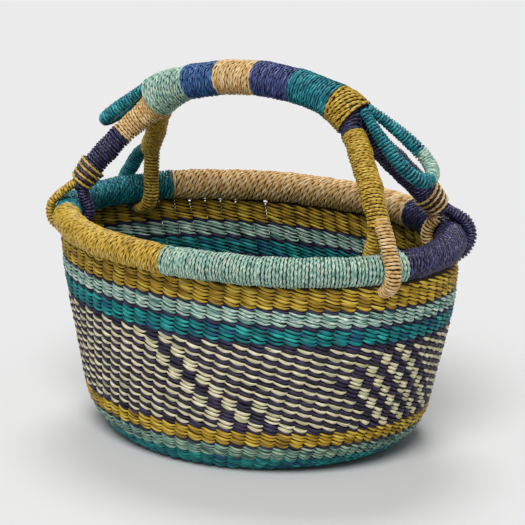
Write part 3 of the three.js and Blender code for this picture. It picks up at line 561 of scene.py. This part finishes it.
# Bands from the floor up: name, height, rows (None where the wall's curve sets them), colour
WALL_ROW = 3.2
TOP_MARGIN = 0.4
bands = [
    ("teal_lower", 14.5, None, "teal"),
    ("mint_lower", 11.0, None, "mint"),
    ("navy_row_1", 2.4, 1, "navy"),
    ("olive_lower", 11.5, 4, "olive"),
    ("navy_row_2", 2.4, 1, "navy"),
    ("pattern_band", 72.0, PATTERN_ROWS, "navy"),
    ("navy_row_3", 3.2, 1, "navy"),
    ("teal_upper", 13.0, 4, "teal"),
    ("navy_row_4", 3.2, 1, "navy"),
    ("mint_upper", 11.6, 4, "mint"),
    ("navy_row_5", 2.4, 1, "navy"),
    ("olive_upper", 18.4, 6, "olive"),
]
low = 0.0
for number, (band, tall, rows, colour) in enumerate(bands):
    node_name, high = "weft_" + band, low + tall
    if band == "pattern_band":
        both = [weft["cream"], weft["pattern_navy"]]
        half = PATTERN_ROWS // 2
        for name, seed, first in (("pattern_rows_upper", 40, 0), ("pattern_rows_lower", 41, half)):
            woven_band(name, node_name, low, high, rows, both, colour, seed,
                       pattern_colours(), first, first + half)
    else:
        top = high - TOP_MARGIN if band == "olive_upper" else high
        rows = rows or round((run_at_height(high) - run_at_height(low)) / WALL_ROW)
        # The lower mint band takes the darker mint_low: painted shade
        shown = weft["mint_low" if band == "mint_lower" else colour]
        woven_band("rows_" + band, node_name, low, top, rows, [shown], colour,
                   20 + number)
    low = high

# Flat base: rows from the wall's foot in to an oval start
BASE_ROW = 3.3
BASE_STAKE_GAP = 12.5
BASE_START = 3
BASE_REACH, BASE_BULK = 1.15, 0.95
START_HALF, START_W, START_H = 8, 1.6, 1.4


def base_rows():
    rng = np.random.default_rng(3)
    build = Builder()
    a, b = BASE_L / 2 - BASE_MARGIN, BASE_W / 2 - BASE_MARGIN
    while b > BASE_START:
        lap = math.pi * (3 * (a + b) - math.sqrt((3 * a + b) * (a + 3 * b)))
        stakes = max(6, round(lap / BASE_STAKE_GAP / 2) * 2)
        theta = oval_angle(a, b, np.arange(stakes * SAMPLES) / (stakes * SAMPLES))
        c, s = np.cos(theta), np.sin(theta)
        centre = np.stack([a * c, b * s, np.full_like(c, WALL / 2)], -1)
        normal = np.tile([0.0, 0.0, -1.0], (len(theta), 1))
        tangent = np.stack([-a * s, b * c, np.zeros_like(c)], -1)
        station = (centre, normal, np.cross(normal, unit(tangent)))
        twined_row(build, rng, station, stakes, BASE_ROW, BASE_REACH, BASE_BULK)
        a -= BASE_ROW
        b -= BASE_ROW
    t = np.linspace(-START_HALF, START_HALF, 12)
    spine = np.stack([t, np.zeros_like(t), np.full_like(t, WALL / 2)], -1)
    across = np.tile([0.0, 1, 0], (len(t), 1))
    build.tube(spine, across, np.tile(UP, (len(t), 1)), START_W, START_H)
    build.make("rows_base", [weft["teal"]], ["base_disc"])


base_rows()

# ---- windings
# A cord's form is the half thickness of a ply, how far it sits off the cord's middle, and the
# length of one twist, in mm. Neighbours start a quarter of a twist apart
TWIST = -2 * np.pi
STAGGER = 0.25
PRESSED = 0.2
TUCK, TUCK_STEPS = 0.5, 4.0
SIZE_SLACK, SINK_SHARE = 0.06, 0.8
PROBES, FEWEST_POINTS = 25, 6
END_RING, OPEN_END, END_SLACK = 0.9, 0.4, 0.1
END_SIZE, END_GROWS = 0.5, 6.0


def cord(build, path, out, form, rng, size=1.0, slot=0, closed=False, phase=None):
    """Two plies twisted together along a path over a surface that faces out."""
    ply, apart, lay = form
    if closed:
        along = unit(np.roll(path, -1, 0) - np.roll(path, 1, 0))
    else:
        along = unit(np.gradient(path, axis=0))
    wide = unit(np.cross(along, out))
    thick = np.cross(wide, along)
    if phase is None:
        run = run_round(path)
        if closed:
            lay = run[-1] / max(1, round(run[-1] / lay))
        phase = TWIST * run[:-1] / lay + float(rng.uniform(0, 6.28))
    size = np.broadcast_to(size, len(path))
    for turn in (0, np.pi):
        side, lift = np.cos(phase + turn), np.sin(phase + turn)
        centre = path + wide * (apart * size * side)[:, None] \
            + thick * (apart * size * lift)[:, None]
        build.tube(centre, wide, thick, ply * size, ply * size, closed, slot, map_shift(rng))


def wind(build, surface, start, end, pitch, form, seed, starts=1, steps=60, hand=1, jitter=0.2,
         loose=0.45, first_turn=0.0, rings=(True, True), before=0.0, past=0.0):
    """`starts` cords side by side, wound over a surface(s, turn, depth) from start to end,
    and a closed ring of the same cord at each end that has one."""
    rng = np.random.default_rng(seed)
    ply, apart, lay = form
    lead = pitch * starts
    turns = (end - start + past + before) / lead + 1
    middle = ply + apart - PRESSED
    circle = surface(np.full(PROBES, (start + end) / 2), np.linspace(0, 1, PROBES),
                     np.full(PROBES, middle))
    lays = round(run_along(circle)[-1] / lay) + STAGGER * starts
    first = start + pitch * (END_RING if rings[0] else OPEN_END) - before
    last = end - pitch * (END_RING if rings[1] else OPEN_END) + past
    for j in range(starts):
        turn = np.arange(int(turns * steps) + 2) / steps
        s = start - before + pitch * (j + 0.5) - lead + lead * turn
        keep = (s >= first) & (s <= last)
        if keep.sum() < FEWEST_POINTS:
            continue
        turn, s = turn[keep], s[keep]
        n = len(turn)
        knots = max(2, n // steps * 3 + 2)
        spread = np.linspace(0, knots - 1, n)
        drift, sink, swell, wander = (
            np.interp(spread, np.arange(knots), change(rng.normal(0, amount, knots)))
            for amount, change in ((jitter, np.array), (jitter * SINK_SHARE, np.abs),
                                   (SIZE_SLACK, np.array), (loose, np.array)))
        edge = np.minimum(np.arange(n), np.arange(n)[::-1])
        depth = middle + sink + TUCK * np.clip(1 - edge / TUCK_STEPS, 0, 1)
        angle = first_turn + hand * turn
        place = np.clip(s + drift, first - pitch * END_SLACK, last + pitch * END_SLACK)
        path = surface(place, angle, depth)
        out = unit(surface(place, angle, depth - 1.0) - path)
        size = (1 + swell) * np.clip(END_SIZE + edge / END_GROWS, 0, 1)
        phase = TWIST * (lays * turn + STAGGER * j) + wander
        cord(build, path, out, form, rng, size, phase=phase)
    for has_ring, place in zip(rings, (start + pitch * 0.5, end - pitch * 0.5)):
        if has_ring:
            turn, there = np.arange(steps) / steps, np.full(steps, place)
            path = surface(there, turn, np.full(steps, middle))
            out = unit(surface(there, turn, np.full(steps, middle - 1.0)) - path)
            cord(build, path, out, form, rng, closed=True)


def lumps(s, turn, size, seed):
    """Slow, shallow swellings that hand work leaves along a winding."""
    angle = 2 * np.pi * turn
    return size * (0.5 * np.sin(s / 3.9 + seed) * np.sin(s / 11.3 + 2 * seed)
                   + 0.3 * np.sin(s / 6.1 + angle + 3 * seed)
                   + 0.3 * np.sin(s / 14.7 - angle + seed))


SLEEVE, SLEEVE_SHORT = 0.25, 0.05


def under_sleeve(build, surface, start, end, depth, step, sides):
    """Thin shell under the cords, shut at both ends, dark as painted shade in the gaps between
    them.
    """
    s = np.linspace(start + SLEEVE_SHORT, end - SLEEVE_SHORT, max(3, int((end - start) / step)))
    turn = np.arange(sides) / sides
    outer = surface_grid(surface, s, turn, depth)
    inner = surface_grid(surface, s, turn, depth + SLEEVE)
    loop = np.concatenate([outer, inner[::-1]])
    build.grid(loop, True, np.arange(len(loop) + 1) * step / MAP_UNIT, 1)


def winding(node_name, colour, surface, start, end, pitch, form, sleeve, before=0.0, past=0.0,
            **work):
    """A wound stretch as one piece. sleeve is the depth, step and sides of its sleeve, which is
    dark as painted shade between the cords.
    """
    build = Builder()
    turns = round((end - start) / pitch)
    wind(build, surface, start, end, (end - start) / turns, form, before=before, past=past, **work)
    under_sleeve(build, surface, start - before, end + past, *sleeve)
    group, rest = node_name.replace("_wrap", "").replace("_cuff", "").split("_", 1)
    # The sleeve's material is a dark straw colour: painted shade between the cords
    materials = [wound[colour], under[colour.removeprefix("ear_")]]
    build.make(f"{group}_winding_{rest}", materials, [node_name])


# ---- rim
rim_t = np.linspace(-2 * np.pi, 4 * np.pi, 6001)
rim_run = oval_run(RIM_L / 2, RIM_W / 2, rim_t)
rim_run -= np.interp(0, rim_t, rim_run)


def rim_s(degrees):
    return float(np.interp(math.radians(degrees), rim_t, rim_run))


def rim_frame(theta):
    """Middle of the rim at an angle round the oval, the way out from it, and its radius."""
    c, s = np.cos(theta), np.sin(theta)
    radius = RIM_R + RIM_SWELL * ((1 + s) / 2) ** 2
    out = unit(np.stack([c / RIM_L, s / RIM_W, np.zeros_like(c)], -1))
    return np.stack([RIM_L / 2 * c, RIM_W / 2 * s, RIM_FOOT + radius], -1), out, radius


def rim_surface(s, turn, depth):
    centre, out, radius = rim_frame(np.interp(s, rim_run, rim_t))
    return off_axis(centre, out, UP, radius - depth + lumps(s, turn, 0.8, 1.0), turn)


# Name, colour, first and last degree round the oval, cords side by side, pitch, form of a cord
rim_wraps = [
    ("olive", "olive", 211, 271, 4, 3.3, (0.96, 0.64, 20)),
    ("mint", "mint", 271, 339.3, 1, 2.8, (0.84, 0.54, 11)),
    ("mint_end", "mint", 339.3, 344, 1, 2.8, (0.84, 0.54, 11)),
    ("navy", "dusk", 344, 420, 5, 2.9, (0.88, 0.56, 12)),
    ("tan", "tan", 60, 145.5, 10, 3.5, (1.02, 0.64, 26)),
    ("teal", "teal", 145.5, 211, 4, 2.9, (0.88, 0.56, 12)),
]
for number, (name, colour, first, last, starts, pitch, form) in enumerate(rim_wraps):
    winding("rim_wrap_" + name, colour, rim_surface, rim_s(first), rim_s(last), pitch, form,
            (2.3, 4.0, 24), starts=starts, seed=60 + number)

# Grass bundle inside: how deep under the rim's surface, and its stems as lobes
RIM_CORE_STEPS, RIM_CORE_SIDES, RIM_STEMS = 180, 48, 16
RIM_CORE_DEPTH, RIM_LOBE = 3.4, 0.5
build = Builder()
places = np.linspace(0, rim_s(360), RIM_CORE_STEPS + 1)
turn = np.arange(RIM_CORE_SIDES) / RIM_CORE_SIDES
points = surface_grid(rim_surface, places[:-1], turn,
                      RIM_CORE_DEPTH + RIM_LOBE * np.cos(2 * np.pi * turn * RIM_STEMS))
build.grid(points, True, places / MAP_UNIT)
build.make("rim_grass_bundle", [grass], ["rim_core"])

# ---- grip
TANGENT_HALF = 0.8


def curve_table(points):
    """A curve as points, with the length up to each."""
    path = bezier(points, 801)
    return path, run_along(path)


def along_table(table, s):
    """Points and unit tangents of a curve at lengths along it."""
    path, run = table

    def point_at(s):
        return np.stack([np.interp(s, run, line) for line in path.T], -1)

    back = np.clip(s - TANGENT_HALF, 0, run[-1] - 2 * TANGENT_HALF)
    return point_at(s), unit(point_at(back + 2 * TANGENT_HALF) - point_at(back))


def handle_frame(run):
    across = np.tile([0.0, 1.0, 0.0], (len(run), 1))
    side = unit(across - run * run[:, 1:2])
    return side, unit(np.cross(run, side))


# The left end is -1 and the right end 1: where each is, and the grip's run there
slope_left, slope_right = math.radians(38), math.radians(40)
GRIP_ENDS = {-1: np.array([-104.0, 0, GRIP_TOP - 28.8]), 1: np.array([100.0, 0, GRIP_TOP - 21.6])}
GRIP_RUNS = {-1: np.array([math.cos(slope_left), 0, math.sin(slope_left)]),
             1: np.array([math.cos(slope_right), 0, -math.sin(slope_right)])}
grip_pull = (8 * GRIP_TOP - 4 * (GRIP_ENDS[-1][2] + GRIP_ENDS[1][2])) \
    / (3 * (GRIP_RUNS[-1][2] - GRIP_RUNS[1][2]))
grip_table = curve_table([GRIP_ENDS[-1], GRIP_ENDS[-1] + GRIP_RUNS[-1] * grip_pull,
                          GRIP_ENDS[1] - GRIP_RUNS[1] * grip_pull, GRIP_ENDS[1]])
GRIP_LEN = grip_table[1][-1]


def grip_surface(s, turn, depth):
    point, run = along_table(grip_table, s)
    side, rise = handle_frame(run)
    flare = np.clip(1 - np.minimum(s, GRIP_LEN - s) / GRIP_SWELL_RUN, 0, 1)
    radius = GRIP_R + GRIP_SWELL * flare ** 2 * (3 - 2 * flare) - depth \
        + lumps(s, turn, 0.6, 2.0) * (1 - flare)
    return off_axis(point, side, rise, radius, turn)


# Colour, first and last share of the grip, cords side by side, pitch, form of a cord
grip_wraps = [
    ("mint", 0, 0.19, 4, 2.85, (0.82, 0.56, 15.0)),
    ("blue", 0.19, 0.345, 3, 2.6, (0.78, 0.5, 14.0)),
    ("tan", 0.345, 0.53, 4, 2.85, (0.84, 0.56, 15.0)),
    ("navy", 0.53, 0.71, 2, 2.45, (0.78, 0.42, 13.0)),
    ("teal", 0.71, 0.9, 2, 2.45, (0.78, 0.42, 13.0)),
    ("olive", 0.9, 1, 8, 2.85, (0.84, 0.6, 12.0)),
]
for number, (colour, first, last, starts, pitch, form) in enumerate(grip_wraps):
    winding("grip_wrap_" + colour, colour, grip_surface, first * GRIP_LEN, last * GRIP_LEN,
            pitch, form, (2.1, 4.0, 24), starts=starts, seed=80 + number, hand=-1,
            first_turn=0.2, steps=58, loose=0.6, jitter=0.16)

# ---- legs
LEG_START_R = 13.2
START_OFFSET = LEG_START_R * 4 / (3 * math.pi)
LEG_DROP = 5
TAPER_RUN, HEAD_RUN = 26.0, 45.0
HEAD_SWELL, HEAD_SWELL_RUN = 2.6, 14
END_ROUNDING = 4.5
LUMP_FADE = 10
LOOP_W, LOOP_H = 6.6, 4.9
# Share of a half round section's turn that goes to its arc
ARC = 0.6


def half_round(turn, radius, flat_x):
    """A half round section, from the top of its arc round and back up its flat."""
    angle = math.pi / 2 - math.pi * np.minimum(turn / ARC, 1)
    flat_y = radius * (2 * (turn - ARC) / (1 - ARC) - 1)
    x = np.where(turn < ARC, radius * np.cos(angle), flat_x)
    return x, np.where(turn < ARC, radius * np.sin(angle), flat_y)


class Leg:
    """One leg, from the grip's end to the fork over the rim, with the form of its loops."""

    def __init__(self, arch, end, foot, skew, inset, rise, tilt, head, radius, fork_radius,
                 pull, fork_pull, outer_fan, inner_fan, outer_h):
        self.arch, self.end, self.skew, self.inset, self.rise = arch, end, skew, inset, rise
        self.head, self.radius, self.fork_radius = head, radius, fork_radius
        self.tilt = math.radians(tilt)
        self.fans = {1: math.radians(outer_fan), -1: math.radians(inner_fan)}
        self.loop_h = {1: outer_h, -1: LOOP_H}
        self.point, out, self.rim_radius = rim_frame(math.radians(foot))
        self.tangent = np.array([-out[1], out[0], 0])
        self.out = out + self.tangent * skew
        arrival = self.out * math.sin(self.tilt) - UP * math.cos(self.tilt)
        fork = self.point - self.out * inset + UP * rise
        grip_end, run = GRIP_ENDS[end], GRIP_RUNS[end]
        side, level = handle_frame(run[None])
        start = grip_end + side[0] * arch * START_OFFSET - level[0] * LEG_DROP
        self.table = curve_table([start, start + run * end * pull,
                                  fork - arrival * fork_pull, fork])
        self.length = self.table[1][-1]

    def head_swell(self, s):
        """The winding thickens at the grip, so that its first turns close up to it."""
        return HEAD_SWELL * np.clip(1 - np.maximum(s, 0) / HEAD_SWELL_RUN, 0, 1) ** 2

    def frame_at(self, s):
        point, run = along_table(self.table, np.clip(s, 0, self.length))
        point = point + run * (np.maximum(s - self.length, 0) + np.minimum(s, 0))[:, None]
        run = run * self.end
        side, rise = handle_frame(run)
        return point + rise * self.head_swell(s)[:, None], side, rise

    def radius_at(self, s):
        near = np.clip(1 - (self.length - s) / TAPER_RUN, 0, 1)
        top = np.clip(1 - s / HEAD_RUN, 0, 1)
        past = np.clip((s - self.length) / END_ROUNDING, 0, 0.98)
        whole = self.radius + (self.fork_radius - self.radius) * near * near * (3 - 2 * near) \
            + (self.head - self.radius) * top * top
        return whole * np.sqrt(1 - past * past)

    def surface(self, s, turn, depth):
        """Half round where the legs part, and round further down."""
        point, side, rise = self.frame_at(s)
        radius = self.radius_at(s)
        opening = (np.abs(point[:, 1]) - START_OFFSET) / (radius + SEAT_GAP / 2 - START_OFFSET)
        roundness = np.clip(opening, 0, 1)
        tau = np.mod(turn, 1.0)
        half_radius = LEG_START_R + self.head_swell(s) - depth
        x_half, y_half = half_round(tau, half_radius, SEAT_GAP / 2 + depth)
        x_half = x_half - START_OFFSET
        lumpy = radius - depth + lumps(s, tau, 0.9, 1.3 * self.arch + 0.6 * self.end) \
            * np.clip((self.length - s) / LUMP_FADE, 0, 1)
        angle = math.pi / 2 - 2 * math.pi * tau
        x = x_half + (lumpy * np.cos(angle) - x_half) * roundness
        y = y_half + (lumpy * np.sin(angle) - y_half) * roundness
        return point + side * (self.arch * x)[:, None] + rise * y[:, None]


# Front -1 or back 1, left -1 or right 1, foot in degrees round the oval, skew along the rim,
# how far the fork is inside and above the rim's middle, tilt, radii at the head, along and at
# the fork, pulls at both ends, fans of the outer and inner loop, outer loop's half thickness
legs = {
    "front_left": Leg(-1, -1, 203.4, 0, 9.5, 23, 31, 10.4, 10.4, 8.0, 30, 30, 26, 24, 3.6),
    "front_right": Leg(-1, 1, 336, 0.12, 5, 35.6, 20, 10.2, 10.2, 9.2, 8, 30, 16, 16, 4.9),
    "back_left": Leg(1, -1, 158.1, 0.28, 17, 38.5, 30, 15, 9.6, 8.8, 12, 30, 32, 26, 4.9),
    "back_right": Leg(1, 1, 31.4, 0, 7, 21.8, 27, 10.8, 10.8, 8.2, 24, 14, 26, 20, 4.9),
}
# Node, leg, colour, first and last share of the leg
leg_wraps = [
    ("leg_wrap_front_left_tan", "front_left", "tan", 0, 0.42),
    ("leg_wrap_front_left_navy", "front_left", "dusk", 0.42, 1),
    ("leg_cuff_front_right_navy", "front_right", "dusk", 0, 0.14),
    ("leg_wrap_front_right_olive", "front_right", "olive", 0.14, 1),
    ("leg_wrap_back_left_olive", "back_left", "olive", 0, 1),
    ("leg_wrap_back_right_navy", "back_right", "dusk", 0, 1),
]
THIN_PITCH = 2.75
BEFORE_LEG, PAST_LEG = 4.0, 3.5
for number, (node_name, leg_name, colour, first, last) in enumerate(leg_wraps):
    leg = legs[leg_name]
    winding(node_name, colour, leg.surface, first * leg.length, last * leg.length, THIN_PITCH,
            (0.8, 0.53, 9.0), (2.0, 3.0, 30), starts=2, seed=100 + number,
            hand=leg.arch * leg.end, steps=68, loose=0.6, jitter=0.22,
            rings=(first > 0, last < 1), before=BEFORE_LEG if first == 0 else 0.0,
            past=PAST_LEG if last == 1 else 0.0)

# Grass bundles, foot to foot, pressed half round inside the grip, with stems as lobes
CORE_SIDES, CORE_STEMS, CORE_MAP_STEP = 40, 12, 0.1
LEG_CORE_DEPTH, LEG_LOBE, LEG_RINGS = 3.3, 0.45, 14
GRIP_CORE_R, GRIP_LOBE, GRIP_RINGS, GRIP_CORE_END = 11.6, 0.3, 26, 6
core_turn = np.arange(CORE_SIDES) / CORE_SIDES
stems = np.cos(2 * np.pi * core_turn * CORE_STEMS)


def handle_core(name, left, right):
    def leg_ring(leg, s):
        return leg.surface(np.full(CORE_SIDES, s), core_turn, LEG_CORE_DEPTH + LEG_LOBE * stems)

    def grip_ring(s):
        point, run = along_table(grip_table, np.full(CORE_SIDES, s))
        side, rise = handle_frame(run)
        x, y = half_round(core_turn, GRIP_CORE_R + GRIP_LOBE * stems, SEAT_GAP)
        return point + side * (left.arch * x)[:, None] + rise * y[:, None]

    rings = [leg_ring(left, s) for s in np.linspace(left.length, 0, LEG_RINGS)]
    rings += [grip_ring(s)
              for s in np.linspace(GRIP_CORE_END, GRIP_LEN - GRIP_CORE_END, GRIP_RINGS)]
    rings += [leg_ring(right, s) for s in np.linspace(0, right.length, LEG_RINGS)]
    rings = np.array(rings)
    middles = np.repeat(rings.mean(1, keepdims=True), CORE_SIDES, 1)
    rings = np.concatenate([middles[:1], rings, middles[-1:]])
    build = Builder()
    build.grid(rings, False, np.arange(len(rings) + 1) * CORE_MAP_STEP, flip=left.arch < 0)
    build.make(name.replace("core", "grass_bundle"), [grass], [name])


handle_core("handle_core_front", legs["front_left"], legs["front_right"])
handle_core("handle_core_back", legs["back_left"], legs["back_right"])

# ---- loops round the rim
LOOP_START = 5.2
LOOP_INSIDE = 8
LOOP_PULL = 0.36
LOOP_SWELL_W, LOOP_SWELL_H = 0.5, 0.6


def loop_path(leg, side):
    """Middle line of a loop, x out and y up from the rim's middle, with a short run inside
    the leg before it. side is 1 outside the rim and -1 inside."""
    half_h = leg.loop_h[side]
    loop_radius = leg.rim_radius + SEAT_GAP + half_h
    fan = leg.tilt + side * leg.fans[side]
    heading = np.array([math.sin(fan), -math.cos(fan)])
    drop = SEAT_GAP + half_h * math.sin(leg.fans[side]) + LOOP_W * leg.skew * math.sin(leg.tilt)
    start = np.array([
        -leg.inset + drop * math.sin(leg.tilt) + side * LOOP_START * math.cos(leg.tilt),
        leg.rise + side * LOOP_START * math.sin(leg.tilt) - drop * math.cos(leg.tilt),
    ])
    reach = np.linalg.norm(start)
    touch = math.atan2(start[1], start[0]) - side * math.acos(loop_radius / reach)
    touch_point = loop_radius * np.array([math.cos(touch), math.sin(touch)])
    touch_run = side * np.array([math.sin(touch), -math.cos(touch)])
    pull = np.linalg.norm(touch_point - start) * LOOP_PULL
    lead = bezier([start, start + heading * pull, touch_point - touch_run * pull, touch_point],
                  40)
    end = (-math.pi / 2 if side > 0 else 1.5 * math.pi) + side * SEAT_GAP / 2 / loop_radius
    turn = np.linspace(touch, end, 90)[1:]
    inside = start - heading * np.linspace(LOOP_INSIDE, 0, 9)[:-1, None]
    return np.concatenate([inside, lead, loop_radius * np.stack([np.cos(turn), np.sin(turn)], -1)])


def loop_surface(leg, side):
    path = loop_path(leg, side)
    run = run_along(path)
    heading = unit(np.gradient(path, axis=0))

    def surface(s, turn, depth):
        x, y, hx, hy = (np.interp(s, run, line) for line in (*path.T, *heading.T))
        phase = 2 * np.pi * turn
        across = (LOOP_W + LOOP_SWELL_W - depth) * np.cos(phase)
        out = (leg.loop_h[side] + LOOP_SWELL_H - depth) * np.sin(phase)
        return leg.point + leg.tangent * across[:, None] + leg.out * (x + hy * out)[:, None] \
            + UP * (y - hx * out)[:, None]
    return surface, run[-1]


seed = 140
for leg_name, outer, inner in (
    ("front_left", "olive", "dusk"), ("back_left", "teal", "olive"),
    ("front_right", "tan", "olive"), ("back_right", "dusk", "tan"),
):
    for which, side, colour in (("outer", 1, outer), ("inner", -1, inner)):
        surface, length = loop_surface(legs[leg_name], side)
        winding(f"loop_{leg_name}_{which}", colour, surface, 0, length, THIN_PITCH,
                (0.88, 0.42, 12.0), (1.7, 3.0, 16), seed=seed, steps=26, loose=0.7,
                jitter=0.12, rings=(False, False))
        seed += 1

# ---- ears
EAR_PITCH = 2.8
EAR_R, EAR_ROOT_R, EAR_SWELL, EAR_SWELL_SHARE = 5.4, 4.1, 2.1, 0.25
EAR_ROOT_HALF, EAR_ROOT_RISE, EAR_ROOT_AWAY = 3.7, 13.6, SEAT_GAP / 2 + 1.7


def ear_surface(end, length, dive, yaw, roll, spread, bend, belly):
    """A hairpin that leaves the grip's end. dive, yaw and roll are degrees."""
    dive, yaw, roll = (math.radians(v) for v in (dive, yaw, roll))
    grip_end, run = GRIP_ENDS[end], GRIP_RUNS[end]
    level = handle_frame(run[None])[1][0]
    away = np.array([end * math.cos(dive) * math.cos(yaw), math.cos(dive) * math.sin(yaw),
                     -math.sin(dive)])
    flat = unit(np.array([0.0, 1.0, 0.0]) - away * away[1])
    wide = flat * math.cos(roll) + np.cross(away, flat) * math.sin(roll)
    root = grip_end + level * EAR_ROOT_RISE + run * end * EAR_ROOT_AWAY
    reach = length - EAR_R
    out_by = ((0, EAR_ROOT_HALF), (reach * bend, EAR_ROOT_HALF + spread / 10),
              (reach, spread / 2 * belly), (reach, 0))
    there, back = (bezier([root + away * d + wide * s * o for d, o in out_by], 200)
                   for s in (-1, 1))
    path = np.concatenate([there, back[::-1][1:]])
    table = (path, run_along(path))
    total = table[1][-1]
    normal = np.cross(away, wide)

    def surface(s, turn, depth):
        point, along = along_table(table, s)
        share = np.minimum(s, total - s) / total
        radius = EAR_ROOT_R + EAR_SWELL * np.clip(share / EAR_SWELL_SHARE, 0, 1) - depth
        return off_axis(point, unit(np.cross(along, normal)), normal, radius, turn)
    return surface, total


left_ear = ear_surface(-1, 60, 37.8, 5.9, -6.5, 34, 0.38, 1.95)
right_ear = ear_surface(1, 83.3, 44.6, 17.1, 0, 35.5, 0.12, 1.97)
for node_name, colour, (surface, total), first, last in (
    ("ear_left", "ear_teal", left_ear, 0, 1),
    ("ear_right_front", "ear_teal", right_ear, 0, 0.5),
    ("ear_right_mint", "mint", right_ear, 0.5, 0.68),
    ("ear_right_back", "ear_teal", right_ear, 0.68, 1),
):
    start, end = first * total, last * total
    winding(node_name, colour, surface, start, end, EAR_PITCH, (1.0, 0.36, 12.0),
            (1.6, 2.5, 14), seed=170 + round((end - start) / EAR_PITCH), steps=24, jitter=0.1)

# ---- bindings round the leg ends
BINDING_TURNS, BINDING_PITCH, BINDING_MARGIN = 4, 5.2, 2.5
BINDING_SLACK, BINDING_LIFT, BINDING_STEPS = 0.35, 0.2, 40


def binding(name, leg, colour, between, seed):
    """A cord in open turns, and a second one in the gaps between them."""
    rng = np.random.default_rng(seed)
    build = Builder()
    knots = BINDING_TURNS * 3 + 1
    for slot, shift, lift, ply in ((0, 0.0, 1.5, 0.85), (1, 0.5, 1.0, 0.95)):
        turn = np.arange(shift, BINDING_TURNS + 1e-9 - shift, 1 / BINDING_STEPS)
        slack = np.interp(turn, np.arange(knots) / 3, rng.normal(0, BINDING_SLACK, knots))
        s = leg.length - BINDING_MARGIN - BINDING_PITCH * (BINDING_TURNS - turn) + slack
        point, side, rise = leg.frame_at(s)
        phase = 2 * np.pi * (turn + shift)
        out = side * np.cos(phase)[:, None] + rise * np.sin(phase)[:, None]
        path = point + out * (leg.radius_at(s) + BINDING_LIFT + lift)[:, None]
        edge = np.minimum(np.arange(len(s)), np.arange(len(s))[::-1])
        cord(build, path, out, (ply, 0.5, 9.0), rng, np.clip(0.3 + edge / 3, 0, 1), slot)
    build.make(name + "_strand", [wound[colour], wound[between]], [name])


binding("binding_front_left", legs["front_left"], "olive", "dusk", 7)
binding("binding_back_right", legs["back_right"], "tan", "bark", 8)

# ---- floor, lamps, world
FLOOR_HALF = 14.0
FLOOR_BELOW = 0.0002
FLOOR_TONE = 0.655
WORLD_LEVEL = 0.28
LAMP_HEIGHT = 2.0

corners = [(x * FLOOR_HALF, y * FLOOR_HALF, 0) for x, y in ((-1, -1), (1, -1), (1, 1), (-1, 1))]
floor_mesh = bpy.data.meshes.new("floor")
floor_mesh.from_pydata(corners, [], [(0, 1, 2, 3)])
floor = add_object("floor", floor_mesh)
floor.location.z = float(cad_box[0][2]) - FLOOR_BELOW
floor_material = bpy.data.materials.new("floor")
floor_material.use_nodes = True
floor_inputs = floor_material.node_tree.nodes["Principled BSDF"].inputs
floor_inputs["Base Color"].default_value = (FLOOR_TONE, FLOOR_TONE, FLOOR_TONE, 1)
floor_inputs["Roughness"].default_value = 0.9
floor_inputs["Specular IOR Level"].default_value = 0.0
floor_mesh.materials.append(floor_material)

world = bpy.data.worlds.new("world")
bpy.context.scene.world = world
world.use_nodes = True
background = world.node_tree.nodes["Background"]
background.inputs[0].default_value = (1, 1, 1, 1)
background.inputs[1].default_value = WORLD_LEVEL


def sun_lamp(name, toward, energy, angle):
    data = bpy.data.lights.new(name, "SUN")
    data.energy = energy
    data.angle = math.radians(angle)
    back = unit(toward)
    right = unit(np.cross(UP, back))
    set_pose(add_object(name, data), right, np.cross(back, right), back, (0, 0, LAMP_HEIGHT))


# One lamp high behind the basket, and a stronger, softer one in front
cam_flat = unit(np.array([cam_back[0], cam_back[1], 0]))
sun_lamp("key", -cam_flat * 0.47 + cam_right * 0.01 + UP * 0.9, 1.35, 24)
sun_lamp("fill", cam_flat * 0.6 - cam_right * 0.1 + UP * 0.79, 2.43, 34)

bpy.context.scene.view_settings.view_transform = "Standard"
